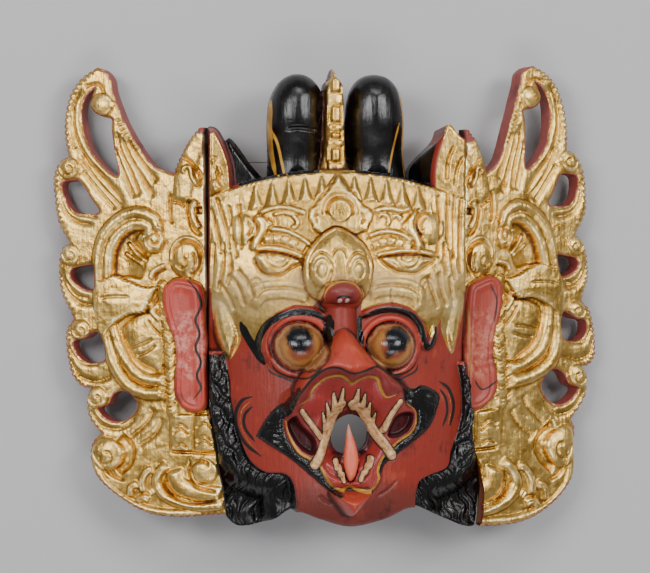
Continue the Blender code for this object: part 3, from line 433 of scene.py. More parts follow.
HEAD_BOX = (-94, 110, -172, 166)
SEAT_Z = 92.0
SEAT_ROOM = 0.8
CX = -2.0
LOBE_Z = 47.0
HOLLOW_DEPTH = 84.0
LOBE_RADIUS = 21.0
SEAM_CLEAR = 0.15
SEAM_L = [(-175, 78), (-157, 78.3), (-140, 80.5), (-125, 84), (-108, 86), (-92, 89), (-80, 91.5),
          (130, 91.5)]
SEAM_R = [(-175, 104), (-160, 106), (-140, 107), (-122, 103), (-105, 99), (-96, 98), (-88, 99.5),
          (-76, 97), (-66, 98), (-56, 94), (-48, 91.5), (130, 91.5)]
CHIN = [(-95, -70), (-91, -95), (-88, -120), (-82, -150), (-76, -163), (-66, -168), (-46, -163),
        (-30, -154), (-14, -159), (8, -165), (32, -160), (54, -152), (80, -163), (98, -170),
        (107, -166), (112, -140), (105, -100), (100, -70), (96, -60), (96, 60), (96, 72), (0, 100),
        (-96, 72), (-96, 0)]
LOBE_L = [(-49, 123), (-47, 141), (-40, 154), (-29, 160), (-17, 157), (-9, 146), (-7, 126),
          (-8, 105), (-9, 76), (-30, 74), (-47, 76), (-48, 100)]
LOBE_R = [(8, 123), (10, 144), (17, 156), (28, 160), (40, 157), (48, 146), (51, 128), (51, 105),
          (52, 76), (30, 74), (9, 76), (8, 100)]
CREST = [(-2, 164), (-5, 156), (-8, 152), (-9, 140), (-10, 120), (-11, 100), (-14, 78), (11, 78),
         (8, 100), (7, 120), (6, 140), (5, 152), (1, 156)]
LEAF_L = [(-91, 114), (-87, 111), (-82, 100), (-79, 88), (-78, 70), (-77, 30), (-79, 4), (-100, 0),
          (-100, 100)]
LEAF_R = [(79, 122), (75, 110), (71, 95), (70, 80), (71, 50), (74, 20), (78, 2), (100, 0), (100, 96),
          (88, 112)]
HORN = [(-82, 66), (-80, 104), (-77, 113), (-72, 110), (-61, 95), (-48, 78), (-50, 64)]
PLAQUE = [(-2, 84), (2, 80), (5, 75), (10, 71), (14, 66), (18, 62), (23.5, 57.5), (21.5, 51.5),
          (18, 45), (10, 42), (-14, 42), (-20, 45.5), (-23.5, 52), (-24.5, 58), (-20, 63),
          (-16.5, 67.5), (-12.5, 71), (-9, 76), (-6, 80)]
SNOUT = [(-25, 2), (-28, 17), (-27, 26), (-22, 35), (-15, 42.5), (-9, 46.5), (-4.5, 48), (3, 45.5),
         (12, 39), (18, 32), (21.5, 21), (20, 8), (17, 0), (8, -5), (-14, -5)]
LOZENGE_L = [(-60.5, 55), (-57.8, 56.6), (-47.8, 50.8), (-51.6, 45), (-59.2, 33.6), (-63.3, 31),
             (-62.3, 43)]
LOZENGE_R = [(54, 60.5), (48, 55), (42.7, 49.4), (44.4, 43.7), (50, 40), (54, 31), (59.6, 32),
             (54.5, 45.7), (53.6, 54)]
LID_LINE_L = [(-61, 30.2), (-52.5, 30), (-43.6, 29), (-36, 27), (-29, 24)]
LID_LINE_R = [(25.6, 26.2), (38, 28.2), (49.7, 29), (60, 27.7), (67, 25.5)]
GAZE_L = [(-60, 28.5), (-58, 19), (-54, 15.3), (-47.7, 13.9), (-42, 15.3), (-36.7, 19.3),
          (-29.5, 24), (-43, 28.6)]
GAZE_R = [(28.4, 26), (35.3, 19), (42.8, 16.6), (53.2, 16.4), (60, 20.6), (66.4, 25.3), (58, 27.4),
          (44, 28)]
BAND_L = [(-61, -9), (-58, -3), (-53, 0.2), (-42, 1.2), (-34, 0.4), (-23, -2.2)]
BAND_R = [(19.5, -0.6), (25, 2), (34.6, 3.2), (45.6, 2), (52.5, -1), (55, -5), (56, -12)]
TUSK_L = [(-90, 3), (-88, -22), (-83.7, -37), (-77.9, -46.2), (-72.6, -39.1), (-69.6, -30),
          (-73.3, -16), (-80.2, -1)]
TUSK_R = [(72.7, -22), (76.8, -34), (82.2, -42.5), (85.8, -36), (88.5, -24), (90, -10), (89.5, 1),
          (84, 3), (76, -6)]
EYE_L = (-30, -36, 18.5, 17.5)
EYE_R = (34, -36, 17.5, 17.0)
LID_L = [(-52, -47), (-55, -32), (-49, -19), (-35, -11), (-21, -12), (-10, -17)]
LID_R = [(13, -15), (24, -10), (36, -9), (48, -13), (57, -23), (60, -35), (65, -35), (69, -22)]
UPPER_LIP = [(-35.1, -76.8), (-31.0, -67.6), (-24.1, -57.8), (-15.8, -50.8), (-7.6, -49.5),
             (2.1, -53.4), (9.7, -52.5), (20.0, -49.2), (27.6, -53.2), (35.1, -58.4), (41.3, -64.3)]
LIP_LINE = [(-32.2, -76.6), (-26.0, -72.3), (-22.6, -64.7), (-15.0, -57.7), (-6.7, -55.5),
            (-1.2, -57.2), (3.6, -61.0), (9.1, -58.1), (15.3, -56.1), (21.5, -58.1), (24.3, -65.4),
            (28.4, -70.9), (35.3, -69.6)]
BEAK = [(-3, -24), (-14, -37), (-31, -58), (-36, -74), *LIP_LINE, (42, -65), (34, -56), (18, -42),
        (5, -27)]
MOUTH = [(-33, -76), (-36, -82), (-39.4, -88.5), (-37.4, -97.8), (-30.5, -109.8), (-22.2, -115.2),
         (-15.3, -120.5), (-8.4, -132.5), (-0.9, -136.7), (5.1, -134.5), (10.9, -136.7),
         (20.5, -137.5), (26.0, -129.8), (25.3, -123.1), (28.8, -113.8), (39.8, -103.2),
         (49.4, -97.2), (52.9, -89.8), (52.2, -81.9), (46.0, -76.5), (40, -66), (30, -62),
         (3.6, -56), (-24, -62)]
HOLE = [(6, -84), (-3, -88), (-7, -97), (-6, -106), (0, -112), (10, -112), (17, -107), (19.5, -97),
        (15, -88)]
POCKET_L = [(-33, -84), (-39, -89), (-37, -98), (-30, -108), (-21, -113), (-17.5, -106), (-20, -99),
            (-28, -91)]
POCKET_R = [(36, -86), (43, -82), (51, -83), (51.5, -90), (47, -97), (39, -101), (31, -99)]
JAW = [(-12, -112), (-15, -120), (-8, -129), (4, -133), (17, -131), (21, -122), (20, -111), (4, -108)]
TONGUE = [(5, -91), (7.6, -98), (10.4, -106), (12, -117), (10, -127), (6.2, -131.5), (3.4, -127),
          (1.7, -117), (2.6, -106), (3.6, -98)]
TIP = [(-8.7, -138), (4.5, -137), (20.2, -138), (17.4, -144.1), (6.4, -155.5), (-1.8, -149.4)]
TEETH = [([(-1.5, -76), (-5.1, -82), (-8.6, -92), (-12, -102.6), (-16.2, -113), (-19.2, -119)], 2.9,
          3.3),
         ([(-2.4, -80), (-1.8, -64.5)], 2.6, 0.5),
         ([(-5.8, -82), (-7.9, -68.1)], 2.8, 0.6),
         ([(-8.6, -90), (-12.6, -74.8)], 2.4, 0.4),
         ([(-11.3, -96), (-14.8, -82)], 2.2, 0.4),
         ([(5.9, -76), (12.8, -80.1), (18.3, -89.3), (24.5, -98.6), (30.7, -106.5), (35.5, -113.2)],
          3.0, 3.2),
         ([(7.5, -78), (8.9, -65.7)], 3.0, 0.8),
         ([(12.8, -81), (13.9, -68.8)], 2.6, 0.5),
         ([(17.6, -88), (17.7, -74.8)], 2.4, 0.4),
         ([(21.5, -92), (22.5, -82)], 1.6, 0.3),
         ([(-29.5, -80.5), (-27.9, -83.1), (-22.4, -90.4), (-15.5, -99.5)], 1.5, 2.0),
         ([(39.6, -74.5), (35.7, -80.4), (32, -87.1), (28.8, -94.4)], 1.9, 2.3),
         ([(-3.9, -117), (-3.4, -122)], 2.0, 1.6),
         ([(-1.9, -121), (-1.2, -126.5)], 1.8, 1.5),
         ([(0.3, -126), (1.2, -131)], 1.7, 1.3),
         ([(20.4, -115), (19.2, -120.5)], 2.0, 1.6),
         ([(18, -120), (16.4, -125.5)], 1.8, 1.5),
         ([(15.4, -125), (13.2, -130.4)], 1.7, 1.3)]
BEARD_L = [(-31.4, -64), (-33.5, -72.4), (-36, -81.7), (-41, -88.4), (-39.5, -97.7), (-32, -110.3),
           (-23, -116.2), (-16, -121.6), (-9, -133.4), (-0.8, -138.6), (-4.5, -140.2),
           (-11.4, -135.9), (-22.4, -126.3), (-33.4, -117.0), (-43.1, -110.3), (-55.5, -102.4),
           (-58.2, -97.7), (-48.6, -81.7), (-40.3, -75)]
BEARD_R = [(36, -57), (49.2, -66.4), (58.2, -64.2), (71.3, -71.1), (69.9, -81.7), (63.7, -94.4),
           (52.0, -103.7), (40.9, -111.0), (32.0, -117.0), (28.3, -124.3), (25.8, -132.3),
           (21, -139), (26.2, -130), (26, -123.5), (29.2, -114.5), (40.3, -104), (49.9, -98),
           (53.8, -90), (53, -81.7), (46, -75.8), (41, -66)]
FACE_L = [(-81, -42), (-77, -61), (-76, -76), (-71, -98), (-64, -116), (-53, -125), (-40, -126),
          (-33, -134), (-30, -156)]
FACE_R = [(87, -50), (90, -65), (91, -83), (88, -97), (82, -112), (79, -124), (64, -129), (56, -135),
          (55, -155)]


def rim(x):
    """The crown's upper edge, a shallow arch."""
    return 86.0 - 0.0021 * (x - CX) ** 2


def seam(y, points):
    """How far out the joint with a wing lies at each height."""
    p = np.array(points, float)
    return np.interp(y, p[:, 0], p[:, 1])


def smooth_interp(v, keys, values):
    """Values between keys, without kinks."""
    line = curve(list(zip(keys, values)), per=6)
    return np.interp(v, line[:, 0], line[:, 1])


STEMS = [[(-91, 62), (-87, 45), (-84, 28)],
         [(-87, 70), (-84.5, 61), (-80.5, 47.5), (-78, 31)],
         [(-79, 64), (-77.2, 53), (-75.4, 38), (-73.4, 25)],
         [(-72, 65), (-71, 51.5), (-70.3, 31)],
         [(-88.5, 37.5), (-89.5, 18.5), (-90, 4)],
         [(-82, 37.5), (-82.5, 22), (-86, 2)],
         [(-78, 30), (-78, 16), (-80, 6)],
         [(71.4, 72), (71.4, 51.5), (70, 25)],
         [(78.5, 74), (78.6, 58), (78.3, 31)],
         [(84, 74), (82.5, 58), (82, 25)],
         [(74.5, 37.5), (75.2, 25), (76.6, 14)],
         [(81.4, 30), (80.8, 22), (82.8, 10)],
         [(88, 70), (87, 44), (87, 14)],
         [(-86, 10), (-79, 0), (-74, -11)],
         [(-79, 15), (-72, 5), (-67, -8)],
         [(-73, 18), (-66, 9), (-61, -3)],
         [(62, 14), (65, 3), (70, -10)],
         [(70, 16), (72, 4), (77, -9)],
         [(79, 14), (80, 3), (83, -8)]]


def crown(x, y, back, plaque, snout):
    """Carving of the crown's front, as a height to add."""
    a = np.abs(x - CX)
    h = np.zeros(x.shape)
    # zigzag of small pyramids under the rim
    pitch = 11.6
    w = np.abs(2 * (((x - CX) / pitch + 0.5) % 1.0) - 1.0)
    deep = -back / (19.5 - 0.02 * a)
    tri = np.clip((deep - w) * 1.7, 0, 1) ** 0.8 * (deep < 1) * (a < 68) * step((deep - 0.02) / 0.1)
    h += np.where((back < 0) & (deep < 1), 2.6 * tri - 1.0, 0.0) * step((70 - a) / 3)
    for line in ([(-58, 57.5), (-51, 60.3), (-43.5, 61.6), (-36, 60.7), (-29, 58.4), (-24, 57)],
                 [(23, 58.5), (28.5, 60.4), (35.3, 60.8), (43.5, 59.5), (50, 61.5)]):
        h = over(h, bead(x, y, line, 1.9, 2.4, 0.05), 0.4)
    for line in ([(-48.5, 56), (-41.6, 57.7), (-32.7, 56.2)],
                 [(-34.7, 56), (-31, 51.7), (-32.7, 47.6), (-36, 48)],
                 [(25.5, 53.7), (28.3, 56.7), (32.4, 55.7), (33.8, 51.7), (31.7, 48.3)],
                 [(36, 55), (40, 56), (43, 53)]):
        h = over(h, bead(x, y, line, 1.7, 2.0, 0.12))
    # lozenges with crescents beside them
    for shape, ridge in ((LOZENGE_L, [(-61, 55), (-55, 49), (-60, 38), (-62, 31)]),
                         (LOZENGE_R, [(54, 60), (49, 50), (52, 42), (57, 32)])):
        h = h + pad(region(x, y, curve(shape, True)), 2.2, 1.4)
        h = h + bead(x, y, ridge, 3.4, 1.6, 0.1)
    h = h + ball(x, y, -69, 46, 9, 11, 3.0) + ball(x, y, 65, 47, 9, 11, 3.0)
    for line in ([(-63.8, 55.5), (-60, 50), (-60, 44), (-62.4, 39.5), (-67, 36.5)],
                 [(-66, 52.5), (-63.3, 46.4), (-66, 40.5)],
                 [(66.3, 56.5), (60, 57.5), (55, 53), (54.3, 46.4), (59, 40)],
                 [(61.2, 56), (57.6, 51), (58.2, 45)]):
        h = h - cut(x, y, line, 1.5, 2.6)
    # brow bands with small pads between two ribs
    for high, mid, low in (([(-50.5, 46.3), (-40.2, 45), (-30, 40.3), (-22, 34.6)],
                            [(-55, 39), (-41.6, 39.3), (-33, 35.6), (-26.5, 32)],
                            [(-61, 31), (-54, 33), (-43.7, 32), (-33, 29), (-27.5, 26)]),
                           ([(18.6, 41), (25.5, 43.6), (34, 44.6), (43.4, 42.3), (50.5, 37.5)],
                            [(21.5, 34), (31, 37.6), (39.3, 37.6), (50, 33.5)],
                            [(24, 27.5), (35.8, 30), (46, 31), (60, 29.8), (67, 28)])):
        h = over(h, bead(x, y, high, 1.7, 2.8, 0.06), 0.3)
        h = over(h, bead(x, y, low, 1.8, 2.4, 0.06), 0.3)
        d, t, _ = along(x, y, curve(mid), 5.0)
        pads = np.clip(np.abs(np.sin(math.pi * t * 5)) * 2.2, 0, 1)
        rows = np.clip(1 - (d / 3.4) ** 2, 0, 1) ** 0.5 * pads
        h = over(h, 2.2 * rows)
    # half-closed eyes
    for shape, lid, cx in ((GAZE_L, LID_LINE_L, -45), (GAZE_R, LID_LINE_R, 47)):
        ball_ = region(x, y, curve(shape, True))
        h = h + pad(ball_, 1.2, 1.0, 3.0, 7.5)
        h = h - cut(x, y, lid, 1.5, 2.2, 0.05)
        q = np.hypot((x - cx), (y - 27))
        for r in (4.6, 8.4):
            h = h - np.where(ball_ < 0, 1.1 * np.clip(1 - np.abs(q - r) / 1.1, 0, 1), 0)
        h = h - np.where(ball_ > -1, 1.2 * np.clip(1 - np.abs(ball_ - 0.9) / 1.3, 0, 1), 0) * (y < 26)
    # serrated plaque with a disc under two crescents
    ang = np.arctan2(y - 60, x - CX)
    scal = plaque + np.abs(np.sin(ang * 10))
    h = np.where(plaque < 3, h * step((plaque - 0.2) / 1.5), h) + pad(scal, 3.4, 1.2, 1.6, 12)
    disc = np.hypot(x - CX - 0.5, y - 59)
    h = h + 1.6 * step((8.2 - disc) / 1.0) * step((72 - y) / 2)
    for r, wide, deep in ((9.6, 1.4, 2.6), (12.4, 1.2, 1.8)):
        h = h - deep * np.clip(1 - np.abs(disc - r) / wide, 0, 1) * step((y - 54) / 5)
    for sgn in (-1, 1):
        h = h - cut(x, y, [(CX + sgn * 15, 58), (CX + sgn * 17.5, 54), (CX + sgn * 15.5, 50)], 1.2, 2.0)
    # arched snout with a double outline and ringed nostrils
    h = np.where(snout < 1, h * step((snout + 0.2) / 1.2), h) + pad(snout, 2.6, 1.4, 12.5, 22)
    h = h - 1.5 * np.clip(1 - np.abs(snout + 3.2) / 1.1, 0, 1) * step((y - 6) / 8)
    for sgn in (-1, 1):
        cx = CX - 1.0 + sgn * 13.0
        q = np.hypot((x - cx) / 7.4, (y - 17) / 11.5)
        h = h + 3.4 * np.sqrt(np.clip(1 - q * q, 0, 1))
        for r in (0.5, 0.8, 1.06):
            h = h - 1.7 * np.clip(1 - np.abs(q - r) / 0.15, 0, 1) * step((y - 8) / 8)
    q = np.hypot((x + 3.3) / 5.2, (y - 26) / 6.5)
    h = h - 1.6 * np.clip(1 - np.abs(q - 1) / 0.25, 0, 1) * step((y - 24) / 3)
    # stepped bands over the painted eyes
    for line in (BAND_L, BAND_R):
        h = h + bead(x, y, line, 4.2, 2.0, 0.1)
        h = h - cut(x, y, [(p[0], p[1] + 3.6) for p in line], 1.2, 1.4)
        h = h + bead(x, y, [(p[0] * 1.04, p[1] + 6.6) for p in line], 2.4, 1.2, 0.15)
    h = h - cut(x, y, [(34.6, 3.5), (34.3, -1), (35.4, -7)], 0.8, 2.6, 0.0)
    for cx, cy in ((-60.5, 4.5), (61.5, 5.5)):
        q = np.hypot(x - cx, (y - cy) * 0.8)
        for r in (2.6, 5.2):
            h = h - 1.2 * np.clip(1 - np.abs(q - r) / 1.0, 0, 1) * step((y - cy + 2) / 4)
    # fluted leaf stems at both sides
    for line in STEMS:
        h = h - cut(x, y, line, 1.9, 2.2, 0.06)
    return np.where(back < 0, h, 0.0) * step((y + 16) / 5)


def teeth_distance(x, y):
    """Signed distance to the teeth, each a tapering stroke."""
    best = np.full(x.shape, FAR)
    for points, start, end in TEETH:
        d, t, _ = along(x, y, curve(points), 8.0)
        best = np.minimum(best, d - start - (end - start) * t)
    return best


def locks(x, y, sgn):
    """Twisted locks above and loose wavy strands below, as a height to add."""
    turn = y * 0.62 - sgn * x * 0.75 + 1.6 * np.sin(y / 7.0 + x / 11.0)
    drift = 1.4 * np.sin(x / 6.7 + y / 5.3) + 1.0 * np.sin(y / 2.9 - x / 4.1)
    rope = np.abs(np.sin(math.pi * (turn + drift) / 10.5)) ** 0.7 * 3.0
    hair = 0.6 * np.sin(math.pi * (turn * 0.35 + sgn * x * 0.9 + drift) / 2.1)
    wave = sgn * x + 0.30 * y + 2.4 * np.sin(y / 8.0 + sgn * x / 14.0) + 0.8 * drift
    fine = 0.5 * np.sin(math.pi * (wave + drift) / 2.3)
    loose = np.abs(np.sin(math.pi * wave / 8.5)) ** 0.6 * 1.8 + fine
    loose = loose * (0.25 + 0.75 * step((np.abs(x) - 44) / 14))
    low = step((-112 - y) / 12)
    return (rope + hair) * (1 - low) + loose * low


def head_relief(x, y):
    """Signed distance to the block's outline, and the height of its carving."""
    block = np.maximum(region(x, y, curve(CHIN, True), 16.0), y - rim(x) - 3.0)
    leaf_l = region(x, y, curve(LEAF_L, True), 24.0)
    leaf_r = region(x, y, curve(LEAF_R, True), 24.0)
    horn = region(x, y, curve(HORN, True))
    lobe_l = region(x, y, curve(LOBE_L, True), 30.0)
    lobe_r = region(x, y, curve(LOBE_R, True), 30.0)
    crest = region(x, y, curve(CREST, True), 14.0)
    skirt_l = leaf_l - 7.0 * step((y - 60) / 10)
    skirt_r = leaf_r - 15.0 * step((y - 60) / 10) * step((118 - y) / 30)
    sd = np.minimum.reduce([block, skirt_l, skirt_r, horn, lobe_l, lobe_r, crest])
    sd = np.maximum(sd, -x - seam(y, SEAM_L) + SEAM_CLEAR)
    sd = np.maximum(sd, x - seam(y, SEAM_R) + SEAM_CLEAR)
    sd = np.maximum(sd, -region(x, y, curve(HOLE, True), 16.0))

    # the general form: a barrel for the crown, rounder for the face
    zc = smooth_interp(y, [-175, -155, -125, -85, -45, 0, 40, 75, 100, 130],
                       [70, 88, 99, 103, 103, 102, 99, 93, 84, 76])
    u = np.abs(x - CX) / 90.0
    v = np.abs(x - 4) / 90.0
    low = step((10 - y) / 50)
    h = zc - (1 - low) * 20.0 * u ** 2.4 - low * 42.0 * v ** 2.3
    back = y - rim(x)
    top = np.full(x.shape, 30.0)
    top = np.where(horn < 0.8, 44.0 + 4 * step(-horn / 5), top)

    # side leaves with a bevelled inner edge
    lift = 78.0 + 0.03 * (y - 60)
    for leaf, wide in ((leaf_l, 7.0), (leaf_r, 15.0)):
        slope = np.where(leaf < 0, lift, lift - 34.0 * step(leaf / wide))
        top = np.where((leaf < wide + 0.8) & (back > 0), np.maximum(top, slope), top)
        side = lift + 2.0 * step(-leaf / 3) - 40 * step(leaf / 2) - 12 * low
        h = np.where((leaf < 2) & (back <= 0), np.maximum(h, side), h)

    # crown front
    plaque = region(x, y, curve(PLAQUE, True))
    snout = region(x, y, curve(SNOUT, True), 25.0)
    h = h + crown(x, y, back, plaque, snout)
    groove = cut(x, y, [(-88, 100), (-87, 88), (-84, 76)], 1.8, 2.2)
    groove = groove + cut(x, y, [(84, 108), (79, 96), (78, 80)], 1.8, 2.2)
    groove = groove + cut(x, y, [(90, 100), (85, 88), (84, 76)], 1.6, 2.0)
    knob = ball(x, y, -87.5, 77, 4.5, 5, 3.0)
    knob = knob + bead(x, y, [(-90, 96), (-86, 90), (-84, 84)], 1.8, 2.0, 0.1)
    h = np.where(back <= 0, h + knob - groove, h)
    top = top - groove + knob

    # gilded drops at the temples
    for line in (TUSK_L, TUSK_R):
        drop = region(x, y, curve(line, True))
        swell = 70 + 12 * quarter(-drop / 7) - 8 * step(drop / 2) + 0.1 * y
        h = np.where(drop < 2, np.maximum(h, swell), h)

    # hair columns at both sides
    line_l = curve(FACE_L)
    line_r = curve(FACE_R)
    d, _, s = along(x, y, line_l, 70.0)
    hair_l = np.where((y < -40) & (x < 0), d * s, FAR)
    d2, _, s2 = along(x, y, line_r, 70.0)
    hair_r = np.where((y < -48) & (x > 0), -d2 * s2, FAR)
    for hair, sgn in ((hair_l, -1), (hair_r, 1)):
        f = -hair
        inside = hair < 0
        lock = 62.0 - 14 * step((-118 - y) / 40)
        tube = lock + 6.0 * np.sqrt(np.clip(1 - ((f - 9) / 14.0) ** 2, 0, 1))
        tube = tube - 8 * step((f - 12) / 14)
        tube = tube + locks(x, y, sgn)
        h = np.where(inside, h + (tube - h) * step(f / 1.8), h)

    # forehead bump and bridge of the beak
    h = h + ball(x, y, -2, -1, 16, 11, 16)
    h = h + ball(x, y, -1, -4.5, 4.5, 3.5, 1.5)
    h = over(h, bead(x, y, [(-2, -4), (-1, -30), (0, -48)], 11.0, 14.0), 100.0)

    # eyeballs in their sockets with heavy upper lids
    for (cx, cy, rx, ry), lid in ((EYE_L, LID_L), (EYE_R, LID_R)):
        q = np.sqrt(((x - cx) / rx) ** 2 + ((y - cy) / ry) ** 2)
        ring = np.clip(1 - ((q - 1.16) / 0.16) ** 2, 0, 1) ** 0.5
        h = h + 3.0 * ring
        h = np.where(q < 1.02, 97.0, h)
        h = np.where(q < 1.0, 97.0 + 20.0 * np.sqrt(np.clip(1 - q * q, 0, 1)), h)
        h = h + bead(x, y, lid, 3.2, 4.0, 0.08) * (q > 1.02)

    # the gums round the mouth, carried up under the lip
    mouth = region(x, y, curve(MOUTH, True), 30.0)
    lip = 121.0 - 0.24 * (-60 - y) - 0.006 * (x - 5) ** 2
    lip = np.clip(lip, 96, 126)
    hole = region(x, y, curve(HOLE, True), 40.0)
    fall, _, _ = along(x, y, curve(LIP_LINE), 18.0)
    gum = 8.0 * step(1.0 - fall / 17.0)
    floor = lip - 3.0 + gum - 14.0 * step((13.0 - hole) / 13.0)
    h = np.maximum(h, h + (floor - h) * step((13.0 - fall) / 9.0))

    # the beak over the open mouth
    beak = region(x, y, curve(BEAK, True), 20.0)
    reach = np.hypot(x * 0.75, y + 50)
    cone = 146.0 - 0.72 * reach
    cone = cone - 3.0 * np.exp(-((x - 0.5) / 4.0) ** 2) * step((-50 - y) / 8)
    rise = quarter(-beak / 9.0)
    h = np.where(beak < 0, np.maximum(h, h + (cone - h) * rise), h)

    # the mouth: gums round the hole, pockets, jaw
    mouth_in = np.maximum(mouth, -beak)
    h = np.where(mouth_in < 0, h + (floor - h) * step(-mouth_in / 2.6), h)
    h = h + bead(x, y, MOUTH[:20], 1.9, 2.0)
    for line in (POCKET_L, POCKET_R):
        pocket = region(x, y, curve(line, True))
        h = h - 10.0 * step(-pocket / 3.5)
    jaw = region(x, y, curve(JAW, True))
    h = h - 4.0 * step(-jaw / 4.0)

    # teeth along the gums and in the jaw
    bite = teeth_distance(x, y)
    h = h + 3.6 * quarter(-bite / 1.8)
    h = h - 0.8 * np.clip(1 - np.abs(bite - 0.5) / 0.6, 0, 1)

    # flat seat that the tongue is let into
    seat = region(x, y, curve(TONGUE, True))
    h = np.where((seat < SEAT_ROOM + 1.0) & (y < -100),
                 np.minimum(h, SEAT_Z + 40 * step((seat - SEAT_ROOM) / 1.0)), h)
    h = np.where((seat < SEAT_ROOM) & (y < -112), SEAT_Z, h)

    # lower beak tip
    tip = region(x, y, curve(TIP, True), 14.0)
    point = 128 - 0.3 * np.abs(x - 6)
    h = h + (point - h) * quarter(-tip / 8.0) * (tip < 0)

    # moustache and beard
    for line, sgn in ((BEARD_L, -1), (BEARD_R, 1)):
        beard = region(x, y, curve(line, True))
        h = h + pad(beard, 2.2, 2.0)
        drift = 2.1 * np.sin(x / 3.6 + y / 8.0) + 0.9 * np.sin(y / 2.7 - x / 5.0)
        strand = np.abs(np.sin(math.pi * (y + 0.45 * sgn * x + drift) / 4.1)) ** 0.7
        tuft = 0.55 + 0.45 * np.sin(x / 2.6 + 1.7 * np.sin(y / 4.4))
        h = h + (1.6 * strand * tuft - 0.5) * step((-0.8 - beard) / 1.5)
    # creases at both sides of the chin
    h -= cut(x, y, [(25.8, -142.2), (32.7, -138.3), (40, -131)], 1.4, 2.0)
    h -= cut(x, y, [(-15.5, -140.9), (-11.4, -144.9), (-5.2, -147.6)], 1.4, 1.8)

    # behind the rim: ledge, lobes and crest
    for lobe, r in ((lobe_l, LOBE_RADIUS), (lobe_r, LOBE_RADIUS + 0.5)):
        top = np.where(lobe < 0.8, LOBE_Z + r * quarter(-lobe / r), top)
    ridge = 60.0 + 12.0 * np.sqrt(np.clip(1 - ((x - CX) / 12.0) ** 2, 0, 1))
    top = np.where(crest < 0.8, np.maximum(top, 50 + (ridge - 50) * step(-crest / 2.0)), top)
    # squared jewels down the crest, and a drying crack across the left lobe
    for cy, half in ((150, 5.0), (129, 5.6), (114, 2.0), (100, 4.6)):
        jewel = np.maximum(np.abs(x - CX - 0.6) - 3.3, np.abs(y - cy) - half)
        ditch = 1.4 * np.clip(1 - np.abs(jewel - 0.9) / 1.1, 0, 1)
        top = top + np.where(crest < 0, pad(jewel, 2.0, 0.9) - ditch, 0.0)
    lobes = np.minimum(lobe_l, lobe_r)
    top = np.where(lobes < 0.8, top - 5.0 * step((130 - y) / 36), top)
    top = top - cut(x, y, [(-38, 118.4), (-30, 119.2), (-22, 119.0), (-12, 117.8)], 1.7, 2.4, 0.25)
    ledge = 82.0 - 14 * u ** 2
    top = np.where(back < 3.0, np.maximum(top, ledge), top)
    h = np.where(back > 0, h + (top - h) * step(back / 1.4), h)
    h = h - 1.2 * step((1.5 + sd) / 1.5)
    return sd, h


def hollow(x, y, h, wall):
    """The back: a flat rim, the hollow for the wearer's face, and the topknot's rear."""
    s = np.maximum(region(x, y, curve(CHIN, True), 80.0), y - rim(x) - 3.0)
    s = np.maximum(s, -x - seam(y, SEAM_L) + SEAM_CLEAR)
    s = np.maximum(s, x - seam(y, SEAM_R) + SEAM_CLEAR)
    back = y - rim(x)
    e = (-s - wall) / 44.0
    dome = HOLLOW_DEPTH * quarter(e)
    b = np.minimum(dome, h - 0.8 * wall)
    lobe_l = region(x, y, curve(LOBE_L, True), 30.0)
    lobe_r = region(x, y, curve(LOBE_R, True), 30.0)
    crest = region(x, y, curve(CREST, True))
    top = np.full(x.shape, 22.0)
    top = np.where(crest < 0.8, 36.0, top)
    for lobe in (lobe_l, lobe_r):
        below = LOBE_Z - 2.0 - 0.8 * LOBE_RADIUS * quarter(-lobe / LOBE_RADIUS)
        top = np.where(lobe < 0.8, below, top)
    b = b + (top - b) * step((back - 3.0) / 1.6)
    return np.minimum(b, h - 1.6)


SEAM_FREE = -84.0
TONGUE_BOX = (-3, 15, -135, -88)
WIRE_FROM = (-61.4, 96.5, 33.0)
WIRE_TO = (-48.6, 96.0, 42.0)
LEAN_Y = [-170, -158, -140, -116, -100, -74, -27, 30, 60, 92, 140, 170]
LEAN_OUT = [12, 12, 13, 7, 13, 16, 3, -7, -8, -14, -22, -23]
LEAN_UP = [-10, -9, -4, 3, 8, 14, 14, 7, 7, 7, 8, 3]


def lean(a, y):
    """The right wing was cut freehand: its feathers sit a little differently."""
    weight = step((a - 4.0) / 62.0)
    low = np.maximum(weight, step((-112.0 - y) / 30.0))
    return (a + smooth_interp(y, LEAN_Y, LEAN_OUT) * weight,
            y + smooth_interp(y, LEAN_Y, LEAN_UP) * low)


def tongue_face(x, y):
    """Share of the tongue's thickness: crowned across, thinner to its tip."""
    edge = -region(x, y, curve(TONGUE, True))
    swell = 0.45 + 0.55 * quarter(edge / 4.5)
    return swell * (1.0 - 0.45 * step((y + 112.0) / 22.0))


